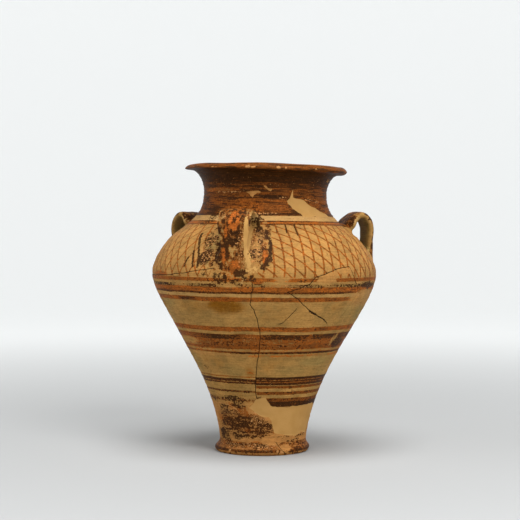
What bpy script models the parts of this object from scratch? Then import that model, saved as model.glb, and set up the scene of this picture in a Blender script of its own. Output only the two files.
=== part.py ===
"""Three-handled storage jar, modelled as one hollow fired solid.

The frame has its origin at the centre of the flat underside and +Z up.
The front handle stands over -Y. All lengths are in metres.
"""

import math

import bmesh
import bpy
from mathutils import Matrix, Vector
from mathutils.geometry import interpolate_bezier

# Body. Each rise is the height of one stretch of the wall, and the lower wall takes what is left.
HEIGHT = 0.4055
FOOT_RADIUS = 0.0675
FOOT_EDGE_HEIGHT = 0.0060
FOOT_UNDERCUT = 0.0035
WAIST_RADIUS = 0.0615
WAIST_RISE = 0.0135
WAIST_SLOPE = math.radians(7.1)
BELLY_RADIUS = 0.1596
SHOULDER_RADIUS = 0.1290
SHOULDER_RISE = 0.0540
SHOULDER_SLOPE = math.radians(-54.0)
NECK_RADIUS = 0.0874
NECK_RISE = 0.0611
LIP_RISE = 0.0366

# Heights above the floor that follow from them
WAIST_HEIGHT = FOOT_EDGE_HEIGHT + WAIST_RISE
NECK_HEIGHT = HEIGHT - LIP_RISE
SHOULDER_HEIGHT = NECK_HEIGHT - NECK_RISE
BELLY_HEIGHT = SHOULDER_HEIGHT - SHOULDER_RISE

# Lip, measured from the neck and from the top
LIP_OVERHANG = 0.0284
LIP_TIP_DROP = 0.0064
LIP_ROOT_OVERHANG = 0.0206
LIP_ROOT_DROP = 0.0090
CREST_SET_IN = 0.0105
MOUTH_SET_IN = 0.0048

# Walls
FLOOR_THICKNESS = 0.0160
FLOOR_FILLET = 0.0280
LOWER_WALL = 0.0100
UPPER_WALL = 0.0068

# Strap handles. Rises are above the shoulder's height, along the strap's centre line.
HANDLES = {"front": (0.0, 0.0), "right": (120.0, 0.0), "left": (-113.0, -0.0025)}
TOP_RISE = 0.0318
TOP_SET_IN = 0.0209
SIDE_RISE = 0.0061
SIDE_SET_IN = 0.0042
UPPER_ROOT_RISE = 0.0047
LOWER_ROOT_RISE = -0.0388
UPPER_ROOT_DEPTH = 0.0120
LOWER_ROOT_DEPTH = 0.0086
STRAP_WIDTH = 0.0455
STRAP_THICKNESS = 0.0065
UPPER_ROOT_WIDTH = 0.0500
LOWER_ROOT_WIDTH = 0.0370
ROOT_THICKNESS = 0.0120

# The old jar leans a little and its mouth is out of level, toward this side
LEAN_DIRECTION = math.radians(15.5)
FOOT_OFFSET = 0.0011
BODY_TILT = math.radians(0.55)
MOUTH_TILT = math.radians(1.6)
TILT_FULL_HEIGHT = 0.0600

# Facets
SEGMENTS = 56
SECTION_SIDES = 8


def bezier(start, start_angle, start_pull, end, end_angle, end_pull, steps):
    """Points of one outline stretch. Angles are from straight up, positive outward."""
    leave = Vector((math.sin(start_angle), math.cos(start_angle))) * start_pull
    arrive = Vector((math.sin(end_angle), math.cos(end_angle))) * end_pull
    first = Vector(start)
    last = Vector(end)
    return interpolate_bezier(first, first + leave, last - arrive, last, steps + 1)


def chain(*stretches):
    """One polyline from stretches that each start where the last one ended."""
    points = [stretches[0][0]]
    for stretch in stretches:
        points.extend(stretch[1:])
    return [Vector((point[0], point[1])) for point in points]


def body_wall():
    """The outer wall from the waist to the narrowest of the neck."""
    belly = (BELLY_RADIUS, BELLY_HEIGHT)
    shoulder = (SHOULDER_RADIUS, SHOULDER_HEIGHT)
    rise = BELLY_HEIGHT - WAIST_HEIGHT
    lower = bezier(
        (WAIST_RADIUS, WAIST_HEIGHT), WAIST_SLOPE, 0.457 * rise,
        belly, 0.0, 0.190 * rise, 11,
    )
    rise = SHOULDER_HEIGHT - BELLY_HEIGHT
    middle = bezier(
        belly, 0.0, 0.340 * rise,
        shoulder, SHOULDER_SLOPE, 0.243 * rise, 5,
    )
    rise = NECK_HEIGHT - SHOULDER_HEIGHT
    upper = bezier(
        shoulder, SHOULDER_SLOPE, 0.731 * rise,
        (NECK_RADIUS, NECK_HEIGHT), 0.0, 0.444 * rise, 6,
    )
    return chain(lower, middle, upper)


def foot_wall():
    """The disc foot, from its flat underside up to the waist."""
    edge = (FOOT_RADIUS, FOOT_EDGE_HEIGHT)
    rounding = bezier(
        (FOOT_RADIUS - FOOT_UNDERCUT, 0.0), math.radians(65), 0.45 * FOOT_UNDERCUT,
        edge, 0.0, 0.50 * FOOT_EDGE_HEIGHT, 2,
    )
    rise = WAIST_HEIGHT - FOOT_EDGE_HEIGHT
    instep = bezier(
        edge, 0.0, 0.22 * rise,
        (WAIST_RADIUS, WAIST_HEIGHT), WAIST_SLOPE, 0.62 * rise, 4,
    )
    return chain(rounding, instep)


def lip_wall():
    """The turned-out lip: under side, rounded tip and the slope up to the crest."""
    level = math.pi / 2
    root = (NECK_RADIUS + LIP_ROOT_OVERHANG, HEIGHT - LIP_ROOT_DROP)
    tip = (NECK_RADIUS + LIP_OVERHANG, HEIGHT - LIP_TIP_DROP)
    crest = (tip[0] - CREST_SET_IN, HEIGHT)
    rise = root[1] - NECK_HEIGHT
    flare = bezier(
        (NECK_RADIUS, NECK_HEIGHT), 0.0, 0.20 * rise,
        root, level, 0.57 * rise, 5,
    )
    reach = tip[0] - root[0]
    nose = bezier(root, level, 0.60 * reach, tip, 0.0, 0.14 * reach, 2)
    slope = bezier(
        tip, math.radians(-18), 0.24 * CREST_SET_IN,
        crest, -level, 0.56 * CREST_SET_IN, 3,
    )
    return chain(flare, nose, slope)


def outer_outline():
    """The solid of revolution before it is hollowed, from the underside to the top."""
    wall = chain(foot_wall(), body_wall(), lip_wall())
    return [Vector((0.0, 0.0)), *wall, Vector((0.0, HEIGHT))]


def wall_thickness(height):
    share = min(max(height / BELLY_HEIGHT, 0.0), 1.0)
    return LOWER_WALL + (UPPER_WALL - LOWER_WALL) * share


def cavity_outline():
    """The hollow, set in from the outer wall by the wall's thickness, and its open mouth."""
    outer = body_wall()
    inner = []
    for before, here, after in zip(outer, outer[1:], outer[2:]):
        along = (after - before).normalized()
        inward = Vector((-along.y, along.x))
        inner.append(here + inward * wall_thickness(here.y))
    inner = [point for point in inner if point.y > FLOOR_THICKNESS + FLOOR_FILLET]
    start = inner[0]
    slope = inner[1] - inner[0]
    floor = chain(bezier(
        (start.x - FLOOR_FILLET, FLOOR_THICKNESS), math.pi / 2, 0.62 * FLOOR_FILLET,
        start, math.atan2(slope.x, slope.y), 0.62 * FLOOR_FILLET, 3,
    ))
    rise = HEIGHT - NECK_HEIGHT
    mouth_radius = NECK_RADIUS + LIP_OVERHANG - CREST_SET_IN - MOUTH_SET_IN
    mouth = chain(bezier(
        (NECK_RADIUS - UPPER_WALL, NECK_HEIGHT), 0.0, 0.45 * rise,
        (mouth_radius, HEIGHT), math.radians(62), 0.36 * rise, 5,
    ))
    above = mouth[-1] + (mouth[-1] - mouth[-2])
    wall = [*floor, *inner[1:], *mouth[:-1], above]
    return [Vector((0.0, FLOOR_THICKNESS)), *wall, Vector((0.0, above.y))]


def smooth_step(value):
    value = min(max(value, 0.0), 1.0)
    return value * value * (3 - 2 * value)


def smooth_step_area(value):
    """The area under smooth_step from 0 to value."""
    inside = min(max(value, 0.0), 1.0)
    return inside ** 3 - inside ** 4 / 2 + max(value - 1.0, 0.0)


def leaned(point):
    """Where a point of the true-running jar stands on the leaning one. The underside stays flat."""
    side = Vector((math.cos(LEAN_DIRECTION), math.sin(LEAN_DIRECTION), 0.0))
    low = point.z / TILT_FULL_HEIGHT
    high = (point.z - SHOULDER_HEIGHT) / (HEIGHT - SHOULDER_HEIGHT)
    body = math.tan(BODY_TILT)
    extra = math.tan(MOUTH_TILT) - body
    tilt = body * smooth_step(low) + extra * smooth_step(high)
    shift = FOOT_OFFSET * smooth_step(point.z / WAIST_HEIGHT)
    shift += body * TILT_FULL_HEIGHT * smooth_step_area(low)
    shift += extra * (HEIGHT - SHOULDER_HEIGHT) * smooth_step_area(high)
    return point + side * shift - Vector((0.0, 0.0, point.dot(side) * tilt))


def finished(name, mesh):
    """Leans a mesh, turns its faces outward and gives it an object."""
    for vertex in mesh.verts:
        vertex.co = leaned(vertex.co)
    bmesh.ops.recalc_face_normals(mesh, faces=mesh.faces)
    data = bpy.data.meshes.new(name)
    mesh.to_mesh(data)
    mesh.free()
    data.shade_smooth()
    data.set_sharp_from_angle(angle=math.radians(40))
    made = bpy.data.objects.new(name, data)
    bpy.context.collection.objects.link(made)
    return made


def turned(name, outline):
    """A closed solid of revolution about the Z axis."""
    mesh = bmesh.new()
    vertices = [mesh.verts.new((point.x, 0.0, point.y)) for point in outline]
    edges = [mesh.edges.new(pair) for pair in zip(vertices, vertices[1:])]
    bmesh.ops.spin(
        mesh, geom=vertices + edges, cent=(0, 0, 0), axis=(0, 0, 1),
        angle=math.tau, steps=SEGMENTS, use_merge=True,
    )
    bmesh.ops.remove_doubles(mesh, verts=mesh.verts, dist=0.00001)
    return finished(name, mesh)


def wall_radius(height):
    """Radius of the body's outer wall at a height between the waist and the neck."""
    wall = body_wall()
    for below, above in zip(wall, wall[1:]):
        if below.y <= height <= above.y:
            share = (height - below.y) / (above.y - below.y)
            return below.x + (above.x - below.x) * share
    return wall[-1].x


def handle_line():
    """Centre line of a strap, from inside the shoulder wall, over the top and down to the belly."""
    upper_height = SHOULDER_HEIGHT + UPPER_ROOT_RISE
    lower_height = SHOULDER_HEIGHT + LOWER_ROOT_RISE
    upper = (wall_radius(upper_height) - UPPER_ROOT_DEPTH, upper_height)
    top = (BELLY_RADIUS - TOP_SET_IN, SHOULDER_HEIGHT + TOP_RISE)
    side = (BELLY_RADIUS - SIDE_SET_IN, SHOULDER_HEIGHT + SIDE_RISE)
    lower = (wall_radius(lower_height) - LOWER_ROOT_DEPTH, lower_height)
    level = math.pi / 2
    rise = top[1] - upper[1]
    drop = top[1] - side[1]
    fall = side[1] - lower[1]
    return (
        bezier(upper, math.radians(43), 0.55 * rise, top, level, 0.40 * rise, 7),
        bezier(top, level, 0.42 * drop, side, math.pi, 0.50 * drop, 6),
        bezier(side, math.pi, 0.35 * fall, lower, math.radians(195), 0.35 * fall, 7),
    )


def handle_stations():
    """Points of the centre line with the strap's direction, width and thickness at each."""
    stretches = handle_line()
    points = chain(*stretches)
    last = len(points) - 1
    side = last - (len(stretches[2]) - 1)
    stations = []
    for index, point in enumerate(points):
        along = points[min(index + 1, last)] - points[max(index - 1, 0)]
        near_upper = 1 - smooth_step(index / 5)
        near_lower = smooth_step((index - last + 5) / 5)
        narrowing = smooth_step((index - side) / (last - side))
        width = STRAP_WIDTH
        width += (UPPER_ROOT_WIDTH - STRAP_WIDTH) * near_upper
        width += (LOWER_ROOT_WIDTH - STRAP_WIDTH) * narrowing
        thicker = ROOT_THICKNESS - STRAP_THICKNESS
        thickness = STRAP_THICKNESS + thicker * max(near_upper, near_lower)
        stations.append((point, math.atan2(along.x, along.y), width, thickness))
    return stations


def strap_handle(name, azimuth, rise):
    """A strap with round edges, swept along its loop from root to root."""
    mesh = bmesh.new()
    stations = handle_stations()
    turn = Matrix.Rotation(math.radians(azimuth), 4, "Z")
    previous = None
    for index, (point, angle, width, thickness) in enumerate(stations):
        at_end = index in (0, len(stations) - 1)
        ring = bmesh.ops.create_circle(
            mesh, cap_ends=at_end, segments=SECTION_SIDES, radius=thickness / 2,
            matrix=Matrix.Rotation(math.pi / SECTION_SIDES, 4, "Z"),
        )["verts"]
        place = turn @ Matrix.Translation((0.0, -point.x, point.y + rise))
        place = place @ Matrix.Rotation(angle, 4, "X")
        for vertex in ring:
            vertex.co.x += math.copysign((width - thickness) / 2, vertex.co.x)
            vertex.co = place @ vertex.co
        edges = [edge for edge in mesh.edges if edge.verts[0] in ring and edge.verts[1] in ring]
        if previous:
            bmesh.ops.bridge_loops(mesh, edges=previous + edges)
        previous = edges
    return finished(name, mesh)


def combine(target, other, operation):
    """Joins another solid to the jar, or cuts it away, and keeps it as a hidden guide."""
    other.hide_render = True
    other.display_type = "WIRE"
    step = target.modifiers.new(other.name, "BOOLEAN")
    step.operation = operation
    step.solver = "EXACT"
    step.object = other


def fired_clay():
    material = bpy.data.materials.new("fired_clay")
    material.use_nodes = True
    shader = material.node_tree.nodes["Principled BSDF"]
    shader.inputs["Base Color"].default_value = (0.52, 0.27, 0.10, 1.0)
    shader.inputs["Roughness"].default_value = 0.72
    shader.inputs["Metallic"].default_value = 0.0
    return material


def main():
    for old in list(bpy.data.objects):
        bpy.data.objects.remove(old)
    jar = turned("jar", outer_outline())
    jar.data.materials.append(fired_clay())
    for place, (azimuth, rise) in HANDLES.items():
        combine(jar, strap_handle(f"{place}_handle", azimuth, rise), "UNION")
    combine(jar, turned("cavity", cavity_outline()), "DIFFERENCE")


main()
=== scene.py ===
"""Three-handled storage jar: its fired clay wall, painted bands and net, breaks, fills and wear."""

import math
import random
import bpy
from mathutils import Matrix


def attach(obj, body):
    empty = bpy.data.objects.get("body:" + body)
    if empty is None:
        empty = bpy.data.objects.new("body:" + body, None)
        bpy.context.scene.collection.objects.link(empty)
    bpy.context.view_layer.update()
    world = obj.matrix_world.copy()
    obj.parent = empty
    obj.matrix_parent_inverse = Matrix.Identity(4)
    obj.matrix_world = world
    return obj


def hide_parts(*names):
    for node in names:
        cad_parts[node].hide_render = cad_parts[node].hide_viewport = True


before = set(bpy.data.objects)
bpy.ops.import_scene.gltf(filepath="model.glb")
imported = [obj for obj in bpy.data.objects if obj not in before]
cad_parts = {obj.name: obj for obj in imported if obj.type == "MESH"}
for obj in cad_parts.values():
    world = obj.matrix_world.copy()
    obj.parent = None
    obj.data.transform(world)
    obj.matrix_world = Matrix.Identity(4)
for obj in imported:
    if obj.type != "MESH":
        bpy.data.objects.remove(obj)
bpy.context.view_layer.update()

from types import SimpleNamespace

import bmesh
import bpy
import numpy as np
from bpy.props import FloatProperty, FloatVectorProperty, IntProperty, PointerProperty
from bpy.types import Operator, Panel, PropertyGroup
from mathutils import Matrix, Vector, noise
from mathutils.geometry import interpolate_bezier

bl_info = {
    "name": "Three-handled Jar",
    "version": (1, 0, 0),
    "blender": (4, 5, 0),
    "location": "View3D > Sidebar > Jar",
    "description": "Models a painted, mended storage jar around its packed solid",
    "category": "Add Mesh",
}


# Settings

def length(name, description, default):
    return FloatProperty(name=name, description=description, default=default, unit="LENGTH", precision=4)


def angle(name, description, degrees):
    return FloatProperty(
        name=name, description=description, default=math.radians(degrees), unit="ROTATION",
    )


def pixels(name, description, default):
    return FloatProperty(name=name, description=description, default=default, subtype="PIXEL")


def count(name, description, default):
    return IntProperty(name=name, description=description, default=default, subtype="UNSIGNED")


def linear(level):
    """A 0 to 255 screen level as the linear value that shaders use."""
    level = level / 255
    return level / 12.92 if level <= 0.04045 else ((level + 0.055) / 1.055) ** 2.4


def colour(name, description, red, green, blue):
    return FloatVectorProperty(
        name=name, description=description, default=(linear(red), linear(green), linear(blue)),
        subtype="COLOR", size=3, min=0.0, max=1.0,
    )


class BodySizes(PropertyGroup):
    """The thrown wall, from the foot to the lip."""
    height: length("Height", "Underside to the middle of the rim", 0.4055)
    foot_radius: length("Foot radius", "Widest radius of the disc foot", 0.0675)
    foot_edge_height: length("Foot edge height", "Height of the foot's widest ring", 0.0060)
    foot_undercut: length("Foot undercut", "How far the underside stands in from the foot's edge", 0.0035)
    waist_radius: length("Waist radius", "Narrowest radius above the foot", 0.0615)
    waist_rise: length("Waist rise", "Foot edge to waist", 0.0135)
    waist_slope: angle("Waist slope", "Outward slope of the wall at the waist", 7.1)
    belly_radius: length("Belly radius", "Widest radius of the body", 0.1596)
    shoulder_radius: length("Shoulder radius", "Radius half way up the shoulder", 0.1290)
    shoulder_rise: length("Shoulder rise", "Belly to the middle of the shoulder", 0.0540)
    shoulder_slope: angle("Shoulder slope", "Inward slope of the shoulder", -54.0)
    neck_radius: length("Neck radius", "Narrowest radius of the neck", 0.0874)
    neck_rise: length("Neck rise", "Middle of the shoulder to the neck", 0.0611)
    lip_rise: length("Lip rise", "Neck to the top of the rim", 0.0366)
    lip_overhang: length("Lip overhang", "How far the lip's tip stands out from the neck", 0.0284)
    lip_tip_drop: length("Lip tip drop", "How far the tip lies below the rim", 0.0064)
    lip_root_overhang: length("Lip root overhang", "Where the lip's under side runs level", 0.0206)
    lip_root_drop: length("Lip root drop", "How far the under side lies below the rim", 0.0090)
    crest_set_in: length("Crest set-in", "Tip to the highest ring of the rim", 0.0105)
    mouth_set_in: length("Mouth set-in", "Crest to the edge of the mouth", 0.0048)
    floor_thickness: length("Floor thickness", "Clay under the hollow", 0.0160)
    floor_fillet: length("Floor fillet", "Rounding between floor and wall inside", 0.0280)
    lower_wall: length("Lower wall", "Wall thickness at the floor", 0.0100)
    upper_wall: length("Upper wall", "Wall thickness from the belly up", 0.0068)
    segments: count("Segments", "Steps around the outer wall", 360)
    inner_segments: count("Inner segments", "Steps around the hollow", 96)

    def waist_height(self):
        return self.foot_edge_height + self.waist_rise

    def neck_height(self):
        return self.height - self.lip_rise

    def shoulder_height(self):
        return self.neck_height() - self.neck_rise

    def belly_height(self):
        return self.shoulder_height() - self.shoulder_rise


class HandleSizes(PropertyGroup):
    """The three strap handles. Rises are above the middle of the shoulder."""
    right_bearing: angle("Right bearing", "Turn of the right handle from the front one", 120.0)
    left_bearing: angle("Left bearing", "Turn of the left handle from the front one", -111.5)
    left_drop: length("Left drop", "How much lower the left handle was luted on", 0.0025)
    top_rise: length("Top rise", "Rise of the loop's top", 0.0318)
    top_set_in: length("Top set-in", "Loop's top in from the belly's radius", 0.0209)
    side_rise: length("Side rise", "Rise of the loop's outermost point", 0.0061)
    side_set_in: length("Side set-in", "Loop's outermost point in from the belly's radius", 0.0042)
    upper_root_rise: length("Upper root rise", "Rise of the upper joint", 0.0047)
    lower_root_drop: length("Lower root drop", "Drop of the lower joint", 0.0388)
    upper_root_depth: length("Upper root depth", "Centre line inside the wall, at the top", 0.0120)
    lower_root_depth: length("Lower root depth", "Centre line inside the wall, at the bottom", 0.0086)
    strap_width: length("Strap width", "Width of the strap", 0.0455)
    strap_thickness: length("Strap thickness", "Thickness of the strap", 0.0065)
    upper_root_width: length("Upper root width", "Width where the strap leaves the shoulder", 0.0560)
    lower_root_width: length("Lower root width", "Width where the strap meets the belly", 0.0370)
    root_thickness: length("Root thickness", "Thickness at both joints", 0.0125)


class LeanSizes(PropertyGroup):
    """How the old jar stands out of true."""
    direction: angle("Direction", "Side it leans to, from +X toward +Y", 15.5)
    foot_offset: length("Foot offset", "Sideways step above the foot", 0.0011)
    body_tilt: angle("Body tilt", "Lean of the body", 0.55)
    mouth_tilt: angle("Mouth tilt", "Lean of the mouth", 1.6)
    full_height: length("Full height", "Height by which the body has its whole lean", 0.0600)


class ReliefSizes(PropertyGroup):
    """Depths of the fine surface."""
    wobble: length("Wobble", "Slow unevenness of the hand-made wall", 0.00045)
    neck_ridge: length("Neck ridges", "Height of the throwing ridges on the neck", 0.00022)
    body_ridge: length("Body ridges", "Height of the throwing ridges on the body", 0.00016)
    inner_ridge: length("Inner ridges", "Height of the finger spiral inside", 0.0007)
    crack_half_width: length("Crack half width", "Half the width of a mended break", 0.0007)
    crack_depth: length("Crack depth", "Depth of a mended break", 0.0008)
    fill_edge: length("Fill edge", "Width of the step around a filled gap", 0.0007)
    fill_depth: length("Fill depth", "How far a filled gap lies below the wall", 0.00035)
    chip_depth: length("Chip depth", "Depth of the chips on the lip", 0.0022)


class ClayColours(PropertyGroup):
    """Colours of the clay, the paint, the fills and the dirt, and of the painted shade in the straps and the
    cracks.
    """
    clay: colour("Clay", "Fired buff clay", 166, 123, 66)
    clay_dull: colour("Dull clay", "Greyer, dirtier clay", 142, 108, 58)
    clay_warm: colour("Warm clay", "Redder clay where the slip is worn off", 178, 114, 60)
    clay_pale: colour("Pale clay", "Cream slip under the neck", 204, 164, 108)
    stain: colour("Stain", "Yellow-brown stain", 120, 74, 14)
    brown: colour("Brown paint", "Thin paint, fired brown", 110, 54, 13)
    orange: colour("Orange paint", "Thin paint, fired orange", 168, 88, 26)
    blaze: colour("Bright paint", "Thickest orange paint", 172, 84, 24)
    black: colour("Black paint", "Thick paint, fired nearly black", 50, 29, 11)
    fill: colour("Fill", "Tinted plaster of the mends", 179, 136, 78)
    chip: colour("Chip", "Fresh clay in a chip", 176, 124, 72)
    # The seam colour is dirt in the cracks and painted shade of their grooves.
    seam: colour("Seam", "Dirt in the cracks", 34, 20, 9)
    # The dirt colour is also the painted shade on the straps' inner faces.
    dirt_and_shade: colour("Dirt", "Greenish grey dirt and soot", 124, 112, 66)


class StageSizes(PropertyGroup):
    """Floor, lights and camera."""
    floor_radius: length("Floor radius", "Flat part of the round floor", 3.4)
    floor_bend: length("Floor bend", "Radius of the bend up to the wall", 1.4)
    wall_height: length("Wall height", "Top of the pale wall", 4.2)
    camera_bearing: angle("Camera bearing", "Turn of the camera from the front handle", 15.5)
    camera_distance: length("Camera distance", "Camera to the jar's axis", 2.145)
    camera_height: length("Camera height", "Height of the lens", 0.3173)
    picture_width: count("Picture width", "Pixels across the picture", 520)
    focal_pixels: pixels("Focal length in pixels", "Camera's focal length in pixels", 1500.0)
    horizon_row: pixels("Horizon row", "Pixel row of the horizon", 228.0)
    axis_column: pixels("Axis column", "Pixel column of the jar's axis at its foot", 262.0)
    floor_colour: colour("Floor colour", "Pale floor", 172, 173, 173)
    glow_colour: colour("Glow colour", "Soft light from the pale wall", 191, 193, 193)


class JarSettings(PropertyGroup):
    """Everything about the jar and its stage."""
    body: PointerProperty(type=BodySizes)
    handles: PointerProperty(type=HandleSizes)
    lean: PointerProperty(type=LeanSizes)
    relief: PointerProperty(type=ReliefSizes)
    colours: PointerProperty(type=ClayColours)
    stage: PointerProperty(type=StageSizes)


# Outline

OUTER_ZONES = ("underside", "foot", "lower wall", "belly", "shoulder", "flare", "nose", "slope", "crown")
RING_SPACING = {
    "underside": 0.0075, "foot": 0.0022, "lower wall": 0.0033, "belly": 0.0030, "shoulder": 0.0024,
    "flare": 0.0018, "nose": 0.0011, "slope": 0.0014, "crown": 0.0016, "mouth": 0.0034,
    "inner wall": 0.0085, "inner floor": 0.0090,
}
# How long each curve keeps its first and its last direction, as shares of the curve's own size.
CURVE_SHARES = {
    "foot edge": (0.2625, 0.5), "instep": (0.22, 0.62), "lower wall": (0.457, 0.190), "belly": (0.340, 0.243),
    "shoulder": (0.731, 0.444), "flare": (0.20, 0.57), "nose": (0.60, 0.14), "slope": (0.24, 0.56),
    "crown": (0.45, 0.35), "mouth": (0.45, 0.36), "floor": (0.62, 0.62),
    "strap rise": (0.55, 0.40), "strap top": (0.42, 0.50), "strap fall": (0.35, 0.35),
}
CURVE_STEPS = 64
# Directions of the curves, as angles from straight up, positive outward.
UP = 0.0
LEVEL = math.pi / 2
DOWN = math.pi
FOOT_EDGE_START = math.radians(65)
LIP_TIP_LEAVE = math.radians(-18)
MOUTH_END = math.radians(62)
STRAP_START = math.radians(43)
STRAP_END = math.radians(195)
# How far below the rim the crown runs into the mouth.
CROWN_DROP = 0.0018
# How much of the flare under the lip the wall table still covers.
WALL_TABLE_FLARE = 0.8


def curve(name, start, start_angle, end, end_angle, size):
    """Points of one stretch of an outline."""
    first_share, last_share = CURVE_SHARES[name]
    leave = Vector((math.sin(start_angle), math.cos(start_angle))) * (first_share * size)
    arrive = Vector((math.sin(end_angle), math.cos(end_angle))) * (last_share * size)
    first = Vector(start)
    last = Vector(end)
    points = interpolate_bezier(first, first + leave, last - arrive, last, CURVE_STEPS + 1)
    return [Vector((point[0], point[1])) for point in points]


def heading(start, end):
    """The direction from one point to another."""
    way = end - start
    return math.atan2(way.x, way.y)


def body_stretches(body):
    """The outer wall from the waist up to the neck, as its three curves."""
    waist = (body.waist_radius, body.waist_height())
    belly = (body.belly_radius, body.belly_height())
    shoulder = (body.shoulder_radius, body.shoulder_height())
    neck = (body.neck_radius, body.neck_height())
    lower = curve("lower wall", waist, body.waist_slope, belly, UP, belly[1] - waist[1])
    middle = curve("belly", belly, UP, shoulder, body.shoulder_slope, shoulder[1] - belly[1])
    upper = curve("shoulder", shoulder, body.shoulder_slope, neck, UP, neck[1] - shoulder[1])
    return lower, middle, upper


def inner_wall(body):
    """The hollow's side, set in from the outer wall by the wall's thickness."""
    lower, middle, upper = body_stretches(body)
    outer = [*lower, *middle[1:], *upper[1:]]
    inner = []
    for before, here, after in zip(outer, outer[1:], outer[2:]):
        along = (after - before).normalized()
        part = min(max(here.y / body.belly_height(), 0.0), 1.0)
        thickness = body.lower_wall + (body.upper_wall - body.lower_wall) * part
        point = here + Vector((-along.y, along.x)) * thickness
        if point.y > body.floor_thickness + body.floor_fillet:
            inner.append(point)
    return inner


def mouth_curve(body):
    """The inside of the lip, from the rim down to the neck."""
    start = (body.neck_radius - body.upper_wall, body.neck_height())
    edge = (body.neck_radius + body.lip_overhang - body.crest_set_in - body.mouth_set_in, body.height)
    points = curve("mouth", start, UP, edge, MOUTH_END, body.lip_rise)
    return [point for point in reversed(points) if point.y < body.height - CROWN_DROP]


def outline(body):
    """The whole section as named stretches, from the middle underneath round to the floor inside."""
    under = (body.foot_radius - body.foot_undercut, 0.0)
    edge = (body.foot_radius, body.foot_edge_height)
    waist = (body.waist_radius, body.waist_height())
    foot_edge = curve("foot edge", under, FOOT_EDGE_START, edge, UP, body.foot_edge_height)
    instep = curve("instep", edge, UP, waist, body.waist_slope, body.waist_rise)
    lower, middle, upper = body_stretches(body)
    neck = upper[-1]
    root = (neck.x + body.lip_root_overhang, body.height - body.lip_root_drop)
    tip = (neck.x + body.lip_overhang, body.height - body.lip_tip_drop)
    crest = (tip[0] - body.crest_set_in, body.height)
    mouth = mouth_curve(body)
    crown = curve("crown", crest, -LEVEL, mouth[0], heading(*mouth[:2]), crest[0] - mouth[0].x)
    wall = list(reversed(inner_wall(body)))
    floor_end = (wall[-1].x - body.floor_fillet, body.floor_thickness)
    floor = curve("floor", wall[-1], heading(wall[-2], wall[-1]), floor_end, -LEVEL, body.floor_fillet)
    return {
        "underside": [Vector((0.0, 0.0)), Vector(under)],
        "foot": [*foot_edge, *instep[1:]],
        "lower wall": lower,
        "belly": middle,
        "shoulder": upper,
        "flare": curve("flare", neck, UP, root, LEVEL, root[1] - neck.y),
        "nose": curve("nose", root, LEVEL, tip, UP, tip[0] - root[0]),
        "slope": curve("slope", tip, LIP_TIP_LEAVE, crest, -LEVEL, body.crest_set_in),
        "crown": crown,
        "mouth": mouth,
        "inner wall": [mouth[-1], *wall],
        "inner floor": [*floor, Vector((0.0, body.floor_thickness))],
    }


def as_array(points):
    return np.array([point[:] for point in points])


def run_along(corners):
    """Arc length from the first corner to each one."""
    return np.concatenate([[0.0], np.cumsum(np.hypot(*np.diff(corners, axis=0).T))])


def stations(body):
    """Evenly spaced (radius, height, zone) along the outline. A zone counts stretches from the underside."""
    found = []
    for index, (name, points) in enumerate(outline(body).items()):
        corners = as_array(points)
        run = run_along(corners)
        steps = max(math.ceil(run[-1] / RING_SPACING[name]), 2)
        for step in range(steps):
            part = step / steps
            at = part * run[-1]
            radius, height = [np.interp(at, run, corners[:, axis]) for axis in (0, 1)]
            found.append((radius, height, index + part))
    found.append((0.0, body.floor_thickness, index + 1.0))
    return found


class WallTable:
    """Radius, slope and arc length of the outer wall by height, between the foot and the lip."""

    def __init__(self, body):
        section = outline(body)
        stretches = ("foot", "lower wall", "belly", "shoulder")
        points = [point for name in stretches for point in section[name][1:]]
        last_radius = body.neck_radius + WALL_TABLE_FLARE * body.lip_root_overhang
        points += [point for point in section["flare"][1:] if point.x < last_radius]
        corners = as_array(points)
        self.radius = corners[:, 0]
        self.height = corners[:, 1]
        self.run = run_along(corners)
        self.lean = np.gradient(self.radius, self.height)

    def radius_at(self, height):
        return np.interp(height, self.height, self.radius)

    def run_at(self, height):
        return np.interp(height, self.height, self.run)

    def stand_off(self, radius, height):
        """Distance out from the wall's surface."""
        slope = np.interp(height, self.height, self.lean)
        return (radius - self.radius_at(height)) / np.sqrt(1 + slope * slope)

    def place(self, bearing, height):
        """The point of the outer wall at a bearing in degrees from the front handle."""
        return polar(bearing, float(self.radius_at(height)), height)


def polar(bearing, radius, height):
    """The point at a bearing in degrees from the front handle, a radius and a height."""
    turn = math.radians(bearing)
    return Vector((radius * math.sin(turn), -radius * math.cos(turn), height))


# Lean

def smooth_step(value):
    value = np.clip(value, 0.0, 1.0)
    return value * value * (3 - 2 * value)


def smooth_step_area(value):
    """The area under smooth_step from 0 to value."""
    inside = np.clip(value, 0.0, 1.0)
    return inside ** 3 - inside ** 4 / 2 + np.maximum(value - 1.0, 0.0)


def leaned(points, body, lean):
    """Where points of the true-running jar stand on the leaning one. The underside stays flat."""
    side = np.array((math.cos(lean.direction), math.sin(lean.direction), 0.0))
    upper = body.height - body.shoulder_height()
    height = points[:, 2]
    low = height / lean.full_height
    high = (height - body.shoulder_height()) / upper
    tilt = math.tan(lean.body_tilt)
    extra = math.tan(lean.mouth_tilt) - tilt
    shift = lean.foot_offset * smooth_step(height / body.waist_height())
    shift += tilt * lean.full_height * smooth_step_area(low) + extra * upper * smooth_step_area(high)
    drop = (points @ side) * (tilt * smooth_step(low) + extra * smooth_step(high))
    moved = points + shift[:, None] * side
    moved[:, 2] -= drop
    return moved


# Clay shell

LAYERS = ("zone", "strap", "strap_along", "strap_across", "strap_face")
MERGE_DISTANCE = 0.00001
WEDGES = 12
STRAP_RINGS = 40
STRAP_SIDES = 60
STRAP_ZONE = 4.0
# Powers that round a strap's section, across it and through it.
STRAP_ROUNDING = (0.85, 0.60)
# Where a strap's centre line starts and ends, as its distance out from the wall.
STRAP_CLEARANCE = (0.0062, 0.0066)
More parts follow.
